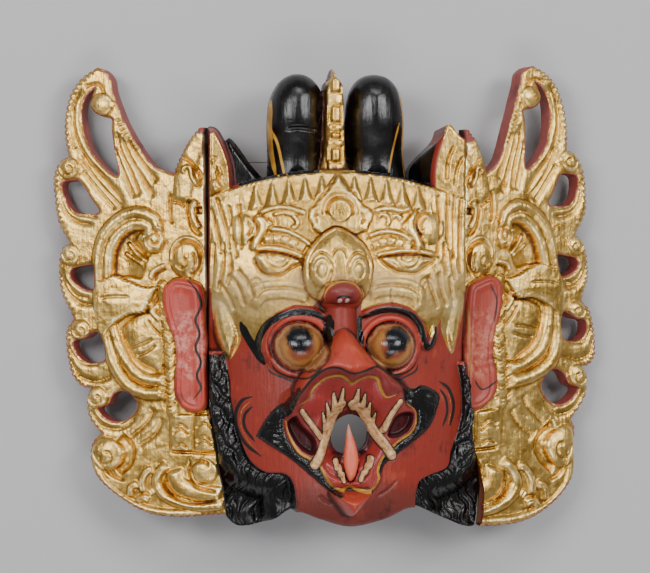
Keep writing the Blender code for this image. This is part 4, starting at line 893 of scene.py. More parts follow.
def cells(low, high, pitch, distance):
    """Triangles that fill the drawing where distance is negative, trimmed to its edge."""
    nx = int(math.ceil((high[0] - low[0]) / pitch)) + 1
    ny = int(math.ceil((high[1] - low[1]) / pitch)) + 1
    gx, gy = np.meshgrid(low[0] + pitch * np.arange(nx), low[1] + pitch * np.arange(ny))
    px = gx.ravel()
    py = gy.ravel()
    s = distance(px, py)
    s = np.where(np.abs(s) < 0.06 * pitch, -0.06 * pitch, s)
    ids = np.arange(nx * ny).reshape(ny, nx)
    a = ids[:-1, :-1].ravel()
    b = ids[:-1, 1:].ravel()
    c = ids[1:, 1:].ravel()
    d = ids[1:, :-1].ravel()
    tris = np.vstack([np.stack([a, b, c], 1), np.stack([a, c, d], 1)])
    inside = s < 0
    count = inside[tris].sum(1)
    whole = tris[count == 3]
    new_xy = []
    made = {}

    def crossing(i, j):
        key = (i, j) if i < j else (j, i)
        if key not in made:
            k = s[i] / (s[i] - s[j])
            made[key] = nx * ny + len(new_xy)
            new_xy.append((px[i] + k * (px[j] - px[i]), py[i] + k * (py[j] - py[i])))
        return made[key]

    part = []
    for t in tris[(count == 1) | (count == 2)]:
        t = [int(v) for v in t]
        while not (inside[t[0]] and not inside[t[2]]):
            t = t[1:] + t[:1]
        if inside[t[1]]:
            m = crossing(t[1], t[2])
            n = crossing(t[0], t[2])
            part += [(t[0], t[1], m), (t[0], m, n)]
        else:
            part.append((t[0], crossing(t[0], t[1]), crossing(t[0], t[2])))
    every = np.vstack([whole, np.array(part)]) if part else whole
    xy = np.vstack([np.stack([px, py], 1), np.array(new_xy).reshape(-1, 2)])
    used, back = np.unique(every, return_inverse=True)
    return xy[used], back.reshape(every.shape)


def shaped(name, xy, tris, grid, front, rear, attributes, mat, slot):
    """The dense front skin, a plainer rear skin and the walls between, as one closed mesh."""
    n = len(xy)
    pairs = np.vstack([tris[:, [0, 1]], tris[:, [1, 2]], tris[:, [2, 0]]])
    key = pairs.min(1).astype(np.int64) * n + pairs.max(1)
    _, first, times = np.unique(key, return_index=True, return_counts=True)
    rim_pairs = pairs[first[times == 1]]
    loop_tris, polygons = grid
    walls = np.stack([rim_pairs[:, 1], rim_pairs[:, 0], rim_pairs[:, 0] + n, rim_pairs[:, 1] + n], 1)
    rear_faces = [[int(v) + n for v in f[::-1]] for f in polygons] + (loop_tris[:, ::-1] + n).tolist()
    verts = np.vstack([front, rear])
    faces = tris.tolist() + walls.tolist() + rear_faces
    flat = np.fromiter((v for f in faces for v in f), np.int64)
    used, back = np.unique(flat, return_inverse=True)
    counts = np.array([len(f) for f in faces])
    ends = np.cumsum(counts)
    starts = ends - counts
    mesh = bpy.data.meshes.new(name)
    mesh.vertices.add(len(used))
    mesh.loops.add(len(flat))
    mesh.polygons.add(len(faces))
    place = verts[used] * MM + np.array(SHIFT) * MM
    low, high = SOLID_BOX
    place = np.clip(place, np.array(low) + 1e-5, np.array(high) - 1e-5)
    mesh.vertices.foreach_set("co", place.astype(np.float32).ravel())
    mesh.loops.foreach_set("vertex_index", back.astype(np.int32))
    mesh.polygons.foreach_set("loop_start", starts.astype(np.int32))
    mesh.update(calc_edges=True)
    mesh.validate()
    edges = np.empty(2 * len(mesh.edges), np.int32)
    mesh.edges.foreach_get("vertices", edges)
    edges = np.sort(edges.reshape(-1, 2), 1)
    whole = np.full(2 * n, -1, np.int64)
    whole[used] = np.arange(len(used))
    rims = np.vstack([whole[rim_pairs], whole[rim_pairs + n]])
    rims = np.sort(rims, 1)
    mark = np.isin(edges[:, 0].astype(np.int64) * len(used) + edges[:, 1],
                   rims[:, 0] * len(used) + rims[:, 1])
    sharp = mesh.attributes.new("sharp_edge", "BOOLEAN", "EDGE")
    sharp.data.foreach_set("value", mark)
    mesh.polygons.foreach_set("use_smooth", np.ones(len(faces), bool))
    on_rear = np.concatenate([np.zeros(n), np.ones(n)])
    for key, value in {**attributes, "rear": on_rear}.items():
        if len(value) == n:
            value = np.concatenate([value, value])
        layer = mesh.attributes.new(key, "FLOAT", "POINT")
        layer.data.foreach_set("value", value[used].astype(np.float32))
    mesh.materials.append(mat)
    obj = bpy.data.objects.new(name, mesh)
    bpy.context.scene.collection.objects.link(obj)
    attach(obj, "root")
    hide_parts(slot)


def cells_with_grid(box, pitch, distance):
    """The drawing's triangles, with a grid that tells which point stands on each whole place."""
    low = np.array([box[0], box[2]], float)
    nx = int(math.ceil((box[1] - box[0]) / pitch)) + 1
    ny = int(math.ceil((box[3] - box[2]) / pitch)) + 1
    xy, tris = cells(low, (box[1], box[3]), pitch, distance)
    # places of the kept points on the grid
    col = np.rint((xy[:, 0] - low[0]) / pitch).astype(int)
    row = np.rint((xy[:, 1] - low[1]) / pitch).astype(int)
    on = ((np.abs(low[0] + col * pitch - xy[:, 0]) < 1e-6)
          & (np.abs(low[1] + row * pitch - xy[:, 1]) < 1e-6))
    ids = np.full((ny, nx), -1)
    ids[row[on], col[on]] = np.nonzero(on)[0]
    return xy, tris, ids


def rear_cells(ids, tris):
    """The rear's faces: whole cells joined two by two, the rest kept as they are."""
    ny, nx = ids.shape
    corner = [ids[:-1, :-1], ids[:-1, 1:], ids[1:, 1:], ids[1:, :-1]]
    whole = np.all([c >= 0 for c in corner], axis=0)
    # a cell is whole only if both of its triangles were kept
    kept = set(map(tuple, np.sort(tris, 1).tolist()))
    by = (ny - 1) // 2
    bx = (nx - 1) // 2
    w = whole[:2 * by, :2 * bx]
    block = w[0::2, 0::2] & w[1::2, 0::2] & w[0::2, 1::2] & w[1::2, 1::2]
    padded = np.zeros((by + 2, bx + 2), bool)
    padded[1:-1, 1:-1] = block
    polygons = []
    gone = set()
    for j, i in zip(*np.nonzero(block)):
        r = 2 * j
        c = 2 * i
        nine = ids[r:r + 3, c:c + 3]
        cells4 = []
        good = True
        for dr in (0, 1):
            for dc in (0, 1):
                a, b, cc, d = nine[dr, dc], nine[dr, dc + 1], nine[dr + 1, dc + 1], nine[dr + 1, dc]
                for t in ((a, b, cc), (a, cc, d)):
                    t = tuple(sorted(int(v) for v in t))
                    good = good and t in kept
                    cells4.append(t)
        if not good:
            padded[j + 1, i + 1] = False
            block[j, i] = False
        else:
            gone.update(cells4)
    for j, i in zip(*np.nonzero(block)):
        r = 2 * j
        c = 2 * i
        ring = [ids[r, c]]
        if not padded[j, i + 1]:
            ring.append(ids[r, c + 1])
        ring.append(ids[r, c + 2])
        if not padded[j + 1, i + 2]:
            ring.append(ids[r + 1, c + 2])
        ring.append(ids[r + 2, c + 2])
        if not padded[j + 2, i + 1]:
            ring.append(ids[r + 2, c + 1])
        ring.append(ids[r + 2, c])
        if not padded[j + 1, i]:
            ring.append(ids[r + 1, c])
        polygons.append(ring)
    rest = np.array([t for t in tris.tolist() if tuple(sorted(t)) not in gone])
    return rest.reshape(-1, 3), polygons


def depth_of(h, tris, turns):
    """How far each place stands above its neighbourhood, in millimetres."""
    n = len(h)
    e = np.vstack([tris[:, [0, 1]], tris[:, [1, 2]], tris[:, [2, 0]]])
    deg = np.bincount(e[:, 0], minlength=n) + np.bincount(e[:, 1], minlength=n)
    s = h.copy()
    for _ in range(turns):
        around = np.bincount(e[:, 0], s[e[:, 1]], n) + np.bincount(e[:, 1], s[e[:, 0]], n)
        s = around / np.maximum(deg, 1)
    return h - s


# Paint


def srgb(code):
    """A hex colour as the linear values that the shader takes."""
    rgb = [int(code[i:i + 2], 16) / 255.0 for i in (0, 2, 4)]
    return tuple(c / 12.92 if c <= 0.04045 else ((c + 0.055) / 1.055) ** 2.4 for c in rgb) + (1.0,)


def add(tree, kind, links=None, out=0, stops=None, **settings):
    """Adds a node with its settings and links, and gives one of its outputs."""
    node = tree.nodes.new(kind)
    for key, value in settings.items():
        setattr(node, key, value)
    for n, (place, code) in enumerate(stops or ()):
        if n > 1:
            node.color_ramp.elements.new(place)
        node.color_ramp.elements[n].position = place
        node.color_ramp.elements[n].color = srgb(code)
    for key, value in (links or {}).items():
        if isinstance(value, bpy.types.NodeSocket):
            tree.links.new(value, node.inputs[key])
        else:
            node.inputs[key].default_value = value
    return node.outputs[out]


def per(size):
    """Scale of a pattern whose marks are so many millimetres across."""
    return 1.0 / (size * MM)


def started(name):
    """A new material's tree, and the place on the object in metres."""
    mat = bpy.data.materials.new(name)
    mat.use_nodes = True
    tree = mat.node_tree
    return mat, tree, add(tree, "ShaderNodeTexCoord", out=3)


def coated(tree, under, coat, *masks):
    """One coat (colour, roughness, metallic) laid over another where all the masks are 1."""
    mask = masks[0]
    for other in masks[1:]:
        mask = add(tree, "ShaderNodeMath", {0: mask, 1: other}, operation="MULTIPLY")
    rows = []
    for n, (a, b) in enumerate(zip(under, coat)):
        if n == 0:
            rows.append(add(tree, "ShaderNodeMix", {0: mask, 6: a, 7: b}, 2, data_type="RGBA"))
        else:
            rows.append(add(tree, "ShaderNodeMix", {0: mask, 2: a, 3: b}, 0, data_type="FLOAT"))
    return tuple(rows)


def inside(tree, name, soft=0.25, edge=0.0):
    """1 where the drawn region's signed distance is below the edge."""
    value = add(tree, "ShaderNodeAttribute", out=2, attribute_name=name)
    return add(tree, "ShaderNodeMapRange", {0: value, 1: edge + soft, 2: edge - soft},
               interpolation_type="SMOOTHSTEP")


def finished(mat, coat, bumps):
    """Links a coat and the bumps, given as (height, millimetres, share of it), to the shader."""
    tree = mat.node_tree
    shader = tree.nodes["Principled BSDF"]
    for value, socket in zip(coat, ("Base Color", "Roughness", "Metallic")):
        if isinstance(value, bpy.types.NodeSocket):
            tree.links.new(value, shader.inputs[socket])
        else:
            shader.inputs[socket].default_value = value
    normal = None
    for height, size, share in bumps:
        links = {"Height": height, "Distance": size * MM, "Strength": share}
        if normal:
            links["Normal"] = normal
        normal = add(tree, "ShaderNodeBump", links)
    tree.links.new(normal, shader.inputs["Normal"])
    return mat


def gold_leaf(tree, place):
    """Gold leaf rubbed over red bole: matt yellow metal with a painted highlight on the ridges, and
    brown in the cuts, partly bole and dirt, partly painted shade.
    """
    height = add(tree, "ShaderNodeAttribute", out=2, attribute_name="relief")
    patch = add(tree, "ShaderNodeTexNoise", {"Vector": place, "Scale": per(14), "Detail": 5.0,
                                             "Roughness": 0.62})
    rub = add(tree, "ShaderNodeTexNoise", {"Vector": place, "Scale": per(3.5), "Detail": 3.0,
                                           "Roughness": 0.6})
    # the colour follows the height: a painted highlight on the ridges, painted shade with bole and dirt
    # in the cuts
    tone = add(tree, "ShaderNodeMapRange", {0: height, 1: -2.3, 2: 1.3})
    shade = add(tree, "ShaderNodeMapRange", {0: patch, 1: 0.3, 2: 0.7, 3: -0.13, 4: 0.13})
    speck = add(tree, "ShaderNodeMapRange", {0: rub, 1: 0.3, 2: 0.7, 3: -0.09, 4: 0.09})
    tone = add(tree, "ShaderNodeMath", {0: tone, 1: shade}, operation="ADD")
    tone = add(tree, "ShaderNodeMath", {0: tone, 1: speck}, operation="ADD")
    colour = add(tree, "ShaderNodeValToRGB", {0: tone}, stops=[
        (0.0, "4A2212"), (0.14, "744620"), (0.34, "AC8038"), (0.58, "CDA250"), (0.82, "E6C478"),
        (1.0, "FBE7AC")])
    rough = add(tree, "ShaderNodeMapRange", {0: patch, 1: 0.3, 2: 0.7, 3: 0.25, 4: 0.4})
    metal = add(tree, "ShaderNodeMapRange", {0: tone, 1: 0.02, 2: 0.22, 3: 0.2, 4: 1.0})
    return colour, rough, metal


def brushed_paint(tree, place, light, mid, dark, rough=0.42):
    """Old oil paint brushed on wood: blotched, half glossy where it is whole."""
    patch = add(tree, "ShaderNodeTexNoise", {"Vector": place, "Scale": per(20), "Detail": 6.0,
                                             "Roughness": 0.62})
    grain = add(tree, "ShaderNodeMapping", {"Vector": place, "Scale": (1.0, 0.12, 0.5)})
    stroke = add(tree, "ShaderNodeTexNoise", {"Vector": grain, "Scale": per(2.5), "Detail": 3.0,
                                              "Roughness": 0.6})
    streak = add(tree, "ShaderNodeMapRange", {0: stroke, 1: 0.3, 2: 0.7, 3: -0.16, 4: 0.16})
    tone = add(tree, "ShaderNodeMapRange", {0: patch, 1: 0.28, 2: 0.72})
    tone = add(tree, "ShaderNodeMath", {0: tone, 1: streak}, operation="ADD")
    colour = add(tree, "ShaderNodeValToRGB", {0: tone},
                 stops=[(0.0, dark), (0.32, mid), (0.7, mid), (1.0, light)])
    gloss = add(tree, "ShaderNodeMapRange", {0: patch, 1: 0.3, 2: 0.7, 3: rough + 0.08,
                                             4: rough - 0.08})
    return colour, gloss, 0.0


def bare_softwood(tree, place):
    """Softwood left from the knife on the hidden sides: matt brown, its grain running up the mask."""
    grain = add(tree, "ShaderNodeMapping", {"Vector": place, "Scale": (1.0, 0.06, 0.5)})
    lines = add(tree, "ShaderNodeTexNoise", {"Vector": grain, "Scale": per(6), "Detail": 4.0,
                                             "Roughness": 0.6, "Distortion": 0.4})
    return add(tree, "ShaderNodeValToRGB", {0: lines},
               stops=[(0.3, "5C3A22"), (0.5, "7D5433"), (0.7, "946A44")]), 0.75, 0.0


def knife_marks(tree, place, bare=0.3):
    """Shallow knife facets, filled up where paint lies thick, wood grain and brush marks."""
    grain = add(tree, "ShaderNodeMapping", {"Vector": place, "Scale": (1.0, 0.1, 0.4)})
    lines = add(tree, "ShaderNodeTexNoise", {"Vector": grain, "Scale": per(3), "Detail": 4.0,
                                             "Roughness": 0.6})
    facets = add(tree, "ShaderNodeTexNoise", {"Vector": place, "Scale": per(9), "Detail": 2.0,
                                              "Roughness": 0.5})
    # wood's pores are too fine to show from here, so they are drawn 1.2 mm wide
    pores = add(tree, "ShaderNodeTexNoise", {"Vector": place, "Scale": per(1.2), "Detail": 3.0,
                                             "Roughness": 0.6})
    return [(facets, 0.9, bare), (lines, 0.45, 1.0), (pores, 0.12, 1.0)]


def head_material():
    """Carved softwood, painted by brush and gilded: half-glossy reds and blacks, matt yellow metal."""
    mat, tree, place = started("painted_and_gilded_softwood")
    side = inside(tree, "rear", 0.02, 0.96)
    front = inside(tree, "rear", 0.01, 0.035)
    coat = coated(tree, bare_softwood(tree, place),
                  brushed_paint(tree, place, "9C3C2A", "86291C", "56160E"), side)
    bright = brushed_paint(tree, place, "BA4E38", "A43522", "7A2216", 0.36)
    coat = coated(tree, coat, bright, inside(tree, "bright", 3.0))
    coat = coated(tree, coat, brushed_paint(tree, place, "8E3A32", "742A26", "4E1A1C"),
                  inside(tree, "plum", 2.0))
    # darker red over the chin below the lower beak's tip: painted shade
    coat = coated(tree, coat, brushed_paint(tree, place, "86382C", "6C281E", "481610"),
                  inside(tree, "chin_shade", 9.0))
    coat = coated(tree, coat, brushed_paint(tree, place, "A84038", "8C2A26", "5E1818", 0.32),
                  inside(tree, "mouth", 0.4))
    # near-black maroon in the mouth's pockets and round the edge of its hole: painted shade in these
    # hollows
    coat = coated(tree, coat, brushed_paint(tree, place, "6E2020", "4A1216", "26080C", 0.3),
                  inside(tree, "pocket", 1.2))
    # darker red over the band under the beak, between the upper lip and the lip line: painted shade on
    # the beak's underside
    coat = coated(tree, coat, brushed_paint(tree, place, "8C3430", "762422", "501414", 0.36),
                  inside(tree, "band", 0.8))
    # dark brown laid over the red paint in its cuts, darker where a cut is deeper: painted shade
    height = add(tree, "ShaderNodeAttribute", out=2, attribute_name="relief")
    cut_shade = add(tree, "ShaderNodeMapRange", {0: height, 1: -0.25, 2: -1.6, 4: 0.85})
    coat = coated(tree, coat, (srgb("2E0E0A"), 0.5, 0.0), cut_shade, side)
    gold = gold_leaf(tree, place)
    gilt = inside(tree, "gold")
    coat = coated(tree, coat, gold, gilt, front)
    dull = add(tree, "ShaderNodeMix", {0: 0.55, 6: gold[0], 7: srgb("A8926A")}, 2, data_type="RGBA")
    scuff = add(tree, "ShaderNodeTexNoise", {"Vector": place, "Scale": per(12), "Detail": 5.0,
                                             "Roughness": 0.65})
    scuff = add(tree, "ShaderNodeMapRange", {0: scuff, 1: 0.32, 2: 0.6})
    coat = coated(tree, coat, (dull, 0.5, 0.6), inside(tree, "worn", 6.0), scuff, gilt, front)
    shine = add(tree, "ShaderNodeTexNoise", {"Vector": place, "Scale": per(11), "Detail": 4.0})
    rough = add(tree, "ShaderNodeMapRange", {0: shine, 1: 0.3, 2: 0.7, 3: 0.14, 4: 0.3})
    black = add(tree, "ShaderNodeValToRGB", {0: shine},
                stops=[(0.3, "050405"), (0.6, "090707"), (0.8, "1A1412")])
    coat = coated(tree, coat, (black, rough, 0.0), inside(tree, "black"), side)
    ochre = add(tree, "ShaderNodeValToRGB", {0: shine},
                stops=[(0.3, "8A5A1E"), (0.55, "BE8C30"), (0.8, "D8B050")])
    coat = coated(tree, coat, (ochre, 0.42, 0.0), inside(tree, "yellow"))
    coat = coated(tree, coat, (srgb("1A1210"), 0.4, 0.0), inside(tree, "thin", 0.2))
    # eyes under a glossy varnish: amber streaked with red, a blue-black pupil with a soft edge
    ring = add(tree, "ShaderNodeAttribute", out=2, attribute_name="eye")
    streak = add(tree, "ShaderNodeTexNoise", {"Vector": place, "Scale": per(8), "Detail": 4.0,
                                              "Roughness": 0.65})
    drift = add(tree, "ShaderNodeMapRange", {0: streak, 1: 0.3, 2: 0.7, 3: -0.07, 4: 0.07})
    drift = add(tree, "ShaderNodeMath", {0: ring, 1: drift}, operation="ADD")
    iris = add(tree, "ShaderNodeValToRGB", {0: drift}, stops=[
        (0.0, "6E2C1C"), (0.45, "80442A"), (0.64, "A07038"), (0.78, "8A5028"), (0.88, "A88054"),
        (0.95, "82352A"), (1.0, "521A18")])
    eyeball = inside(tree, "eye", 0.01, 1.0)
    coat = coated(tree, coat, (iris, 0.13, 0.0), eyeball)
    pupil = add(tree, "ShaderNodeAttribute", out=2, attribute_name="pupil")
    blur = add(tree, "ShaderNodeMapRange", {0: streak, 1: 0.3, 2: 0.7, 3: -1.6, 4: 1.6})
    blur = add(tree, "ShaderNodeMath", {0: pupil, 1: blur}, operation="ADD")
    soft = add(tree, "ShaderNodeMapRange", {0: blur, 1: 11.4, 2: 7.0}, interpolation_type="SMOOTHSTEP")
    coat = coated(tree, coat, (srgb("0C0E14"), 0.1, 0.0), soft, eyeball)
    ivory = add(tree, "ShaderNodeTexNoise", {"Vector": place, "Scale": per(4), "Detail": 5.0,
                                             "Roughness": 0.7})
    ivory = add(tree, "ShaderNodeValToRGB", {0: ivory}, stops=[
        (0.3, "7C4A2C"), (0.42, "B88656"), (0.55, "D2A878"), (0.75, "E6CA98")])
    coat = coated(tree, coat, (ivory, 0.45, 0.0), inside(tree, "teeth", 0.2))
    coat = coated(tree, coat, (srgb("D8B4AC"), 0.4, 0.0), inside(tree, "white", 0.3))
    bare = add(tree, "ShaderNodeMapRange", {0: gilt, 3: 0.22, 4: 1.0})
    return finished(mat, coat, knife_marks(tree, place, bare))


def wing_material(name, worn):
    """Carved softwood board, gilded on the face, painted red on its edges and its ear."""
    mat, tree, place = started(name)
    side = inside(tree, "rear", 0.02, 0.96)
    front = inside(tree, "rear", 0.01, 0.035)
    edge_red = brushed_paint(tree, place, "A8584C", "8A3F38", "5E2420", 0.5)
    coat = coated(tree, bare_softwood(tree, place), edge_red, side)
    coat = coated(tree, coat, gold_leaf(tree, place), front)
    chip = add(tree, "ShaderNodeTexNoise", {"Vector": place, "Scale": per(3.2), "Detail": 3.0})
    chip = add(tree, "ShaderNodeMapRange", {0: chip, 1: 0.35, 2: 0.7, 3: 0.0, 4: 1.6})
    edge = add(tree, "ShaderNodeAttribute", out=2, attribute_name="edge")
    ragged = add(tree, "ShaderNodeMath", {0: edge, 1: chip}, operation="SUBTRACT")
    ragged = add(tree, "ShaderNodeMapRange", {0: ragged, 1: 0.3, 2: -0.3})
    coat = coated(tree, coat, edge_red, ragged, front)
    coat = coated(tree, coat, edge_red, inside(tree, "cap", 0.8), front)
    shadow = (srgb("1E120C"), 0.8, 0.0)
    coat = coated(tree, coat, shadow, inside(tree, "gap", 0.5))
    hues = ("C65C4A", "AC3C2E", "7E261C") if worn else ("AC5038", "98382A", "6E2218")
    ear = inside(tree, "ear")
    coat = coated(tree, coat, brushed_paint(tree, place, *hues, 0.4), ear)
    scuff = add(tree, "ShaderNodeTexNoise", {"Vector": place, "Scale": per(5), "Detail": 5.0,
                                             "Roughness": 0.7})
    scuff = add(tree, "ShaderNodeMapRange", {0: scuff, 1: 0.45, 2: 0.62})
    # a pale patch over the middle of the ear, broken by scuffs: partly paint rubbed thin, partly a
    # painted highlight
    pale = (srgb("C47C6E" if worn else "B06A54"), 0.5, 0.0)
    coat = coated(tree, coat, pale, inside(tree, "rub", 5.0), scuff, ear)
    coat = coated(tree, coat, (srgb("1E1512"), 0.5, 0.0), inside(tree, "line"))
    coat = coated(tree, coat, (srgb("9A6A2C"), 0.5, 0.0), inside(tree, "ochre"))
    bare = add(tree, "ShaderNodeMapRange", {0: ear, 3: 1.0, 4: 0.22})
    return finished(mat, coat, knife_marks(tree, place, bare))


def strokes(x, y, lines):
    """Signed distance to brush strokes, each a line and its half width, thin at both ends."""
    best = np.full(x.shape, FAR)
    for points, half in lines:
        d, t, _ = along(x, y, curve(points), 8.0)
        best = np.minimum(best, d - half * (0.45 + 0.55 * step(np.minimum(t, 1 - t) * 6)))
    return best


GOLD = [(-93, 120), (-93, 4), (-86, -3), (-74, -21), (-70, -21), (-64, -30), (-57, -39), (-54, -26),
        (-47, -13), (-34, -7), (-21, -8), (-17, -4), (-14, 6), (-2, 11), (11, 6), (14, -4),
        (13, -11), (24, -7), (36, -5), (49, -9), (58, -18), (65, -31), (70, -22), (77, -9), (86, 0),
        (94, 4), (94, 120)]
LID_STROKES_AND_BRIDGE_SHADOWS = [([(-56, -47), (-58.2, -42.5), (-57.8, -31.2), (-52, -20.6), (-41.7, -14.2), (-29.3, -11.9),
          (-18.3, -13.7), (-9.3, -19.2)],
         2.4),
        ([(12.7, -16.6), (23, -12.3), (35.4, -10.2), (47.8, -13.7), (55.4, -21.2), (59.1, -31.2),
          (62.3, -37.5), (67.1, -32.5), (68.5, -23.2)],
         2.2),
        ([(-70, -20), (-66.4, -27.8), (-60.9, -37.3), (-54, -48.5)], 2.7),
        # the last two strokes, black masses beside the bridge of the beak, are painted shadow
        ([(-10, -15), (-10.5, -24), (-13, -33), (-17, -40)], 3.4),
        ([(12, -15), (12, -24), (14, -34)], 1.8)]
CHEEKS = [([(-62, -72), (-69, -75), (-73, -84), (-72, -95), (-66, -106), (-56, -114)], 1.2),
          ([(-62, -79), (-67, -85), (-67, -94), (-60, -104)], 1.0),
          ([(72, -62), (80, -68), (84, -80), (81, -94)], 1.2),
          ([(72, -67), (77, -74), (78.5, -84), (75, -94)], 1.0)]
OUTLINES = [(UPPER_LIP, 0.8),
            ([(-50, -46), (-46, -53), (-36, -57.6), (-26, -57), (-17, -49)], 0.7),
            ([(-52, -50), (-49.5, -54.5), (-41, -58.5), (-33, -61.5)], 0.7),
            ([(54, -45), (50, -52), (40, -56), (30, -54), (20, -46)], 0.7),
            ([(55, -49), (53, -54), (45, -58), (37, -61)], 0.7),
            ([(-14.5, -3), (-16, -9), (-13, -13)], 0.6),
            ([(-7, -2.2), (-2, -0.8), (4, -2.2)], 0.7)]
OCHRE = [(LIP_LINE, 0.9),
         (MOUTH[2:20], 0.9),
         ([(-46.6, 140), (-47.4, 122), (-46.2, 104), (-43, 84)], 1.4),
         ([(-46, 118), (-41.5, 106), (-37, 84)], 0.9),
         ([(46, 148), (49.5, 130), (49.6, 108), (51, 84)], 0.9),
         ([(46, 124), (41.5, 106), (38, 88)], 0.7),
         ([(-63.5, -75.5), (-69, -82), (-69.5, -93), (-63.5, -105), (-57, -111)], 0.25),
         ([(74, -66), (80.2, -73), (81.6, -84), (79, -93)], 0.25),
         ([(-13.5, -6), (-14.6, 0), (-11.4, 5.6), (-4, 9), (4, 8.4), (9.5, 3.6), (12.5, -4)], 0.5)]


def head_paint(x, y):
    """The painted regions, as signed distances in millimetres."""
    back = y - rim(x)
    leaf_l = region(x, y, curve(LEAF_L, True), 24.0)
    leaf_r = region(x, y, curve(LEAF_R, True), 24.0)
    crest = region(x, y, curve(CREST, True), 14.0)
    tusk = np.minimum(region(x, y, curve(TUSK_L, True)), region(x, y, curve(TUSK_R, True)))
    upper = np.minimum.reduce([leaf_l, leaf_r, crest])
    gold = region(x, y, np.array(GOLD, float), 40.0)
    gold = np.minimum(np.maximum(np.minimum(gold, tusk), back - 0.7), np.maximum(upper, 0.7 - back))
    bevel = np.minimum(np.maximum(leaf_l - 7.4, -leaf_l), np.maximum(leaf_r - 3.4, -leaf_r))
    d, _, s = along(x, y, curve(FACE_L), 70.0)
    hair_l = np.where((y < -42) & (x < 0), d * s, FAR)
    d, _, s = along(x, y, curve(FACE_R), 70.0)
    hair_r = np.where((y < -50) & (x > 0), -d * s, FAR)
    beard = np.minimum(region(x, y, curve(BEARD_L, True)), region(x, y, curve(BEARD_R, True)))
    # black paint on the hair, the beard and the lids, with painted shadow beside the bridge of the beak
    black = np.minimum.reduce([hair_l, hair_r, beard, strokes(x, y, LID_STROKES_AND_BRIDGE_SHADOWS)])
    black = np.where(back > 0.0, np.maximum.reduce([-upper, -bevel, 0.7 - back]), black)
    eye = np.full(x.shape, 9.0)
    pupil = np.full(x.shape, 50.0)
    for (cx, cy, rx, ry), (px, py) in ((EYE_L, (-31.6, -30.5)), (EYE_R, (37.3, -30.5))):
        eye = np.minimum(eye, np.sqrt(((x - cx) / rx) ** 2 + ((y - cy) / ry) ** 2))
        pupil = np.minimum(pupil, np.hypot(x - px, y - py))
    drip, t, _ = along(x, y, curve([(37, -33), (33, -38), (30, -42.5)]), 8.0)
    pupil = np.minimum(pupil, drip + 5.6 + 1.8 * t)
    bite = teeth_distance(x, y)
    lip = region(x, y, curve(UPPER_LIP + LIP_LINE[::-1], True), 14.0)
    beak = region(x, y, curve(BEAK, True), 14.0)
    mouth = region(x, y, curve(MOUTH, True), 30.0)
    thin = np.minimum.reduce([strokes(x, y, CHEEKS), strokes(x, y, OUTLINES), bite - 0.75,
                              np.abs(eye - 1.02) * 17 - 0.35])
    thin = np.minimum(thin, np.where(beard > 0, beard - 0.5, FAR) * np.where(mouth < 4, 1.0, 9.0))
    pocket = np.minimum(region(x, y, curve(POCKET_L, True)), region(x, y, curve(POCKET_R, True)))
    hole = region(x, y, curve(HOLE, True), 14.0)
    tip = region(x, y, curve(TIP, True), 14.0)
    bright = np.minimum.reduce([tip, np.maximum(beak, -lip), (eye - 1.3) * 17])
    return {"gold": gold,
            "worn": np.maximum(y - 17, -y - 16),
            "black": black,
            "bright": bright,
            "plum": np.hypot((x + 2) / 1.2, y - 1) - 7.5,
            # painted shade over the chin
            "chin_shade": np.maximum(y + 131 + 0.004 * (x - 8) ** 2, 2.0 - tip),
            "mouth": np.maximum(mouth, -beak),
            # painted shade in the pockets and round the hole's edge
            "pocket": np.minimum(pocket, hole - 3.5),
            # painted shade under the beak
            "band": lip + 0.3,
            "yellow": strokes(x, y, OCHRE),
            "thin": thin,
            "eye": eye,
            "pupil": pupil,
            "teeth": bite,
            "tusk": tusk,
            "white": np.minimum(np.hypot(x + 4.4, y + 4), np.hypot(x - 0.6, y + 4)) - 1.5}


def wing_paint(a, y, sd, side):
    """A wing's painted regions, as signed distances in millimetres."""
    ear = region(a, y, curve(EAR, True))
    if side < 0:
        lines = [([(14, 10), (7, 3), (4, -8), (8, -18), (5, -28), (8, -38), (4, -48), (7, -58),
                   (4, -67), (10, -75)], 1.0)]
        ochre = []
        cap = 112.0 - y + 0.6 * a
    else:
        lines = [([(24, -66), (14, -70), (8, -62)], 0.7), ([(22, 6), (27, -8), (24, -24)], 0.6)]
        ochre = [([(3, -10), (4, -40), (5, -62)], 0.7)]
        cap = 109.0 - y + 0.2 * a
    return {"ear": ear + 0.4,
            "edge": -sd,
            # the ear's pale middle: rubbed paint and painted highlight
            "rub": np.hypot((a - 14) / 0.55, y + 36) - 26.0,
            "line": strokes(a, y, lines),
            "ochre": strokes(a, y, ochre),
            "cap": np.where(a < 26, cap, FAR),
            "gap": np.where(y > -86, a - 2.4 - 0.02 * (y - 20), 5.0)}


def wing_place(side, a, y, w, shear):
    """Puts a point of a wing's drawing in the mask: along the board, up it, and off its face."""
    sweep = math.radians(WING_SWEEP)
    a = a + shear * WING_THICKNESS * math.tan(sweep) * step((24.0 - a) / 22.0)
    out, up = (a, y) if side < 0 else lean(a, y)
    x = SEAM_HALF_WIDTH + out * math.cos(sweep) + w * math.sin(sweep)
    z = WING_ROOT_HEIGHT - out * math.sin(sweep) + w * math.cos(sweep)
    points = SEAM_L if side < 0 else SEAM_R
    free = FIT_GAP / 2 + (HAIR_GAP - FIT_GAP) * step((SEAM_FREE - up) / 8.0)
    x = np.maximum(x, seam(up, points) + free)
    return np.stack([side * x, up, z], 1)


class MaskSettings(bpy.types.PropertyGroup):
    """Sizes and light of the mask's scene"""
    head_pitch: FloatProperty(name="Head mesh", description="Spacing of the block's surface",
                              default=0.00088, unit="LENGTH")
    wing_pitch: FloatProperty(name="Wing mesh", description="Spacing of the wings' surface",
                              default=0.00075, unit="LENGTH")
    floor_colour: FloatVectorProperty(name="Floor", description="Colour of the studio floor",
                                      subtype="COLOR", default=srgb("B4B3B5")[:3], min=0.0, max=1.0)
    key_power: FloatProperty(name="Key light", description="Power of the main soft light", default=17.0,
                             unit="POWER")


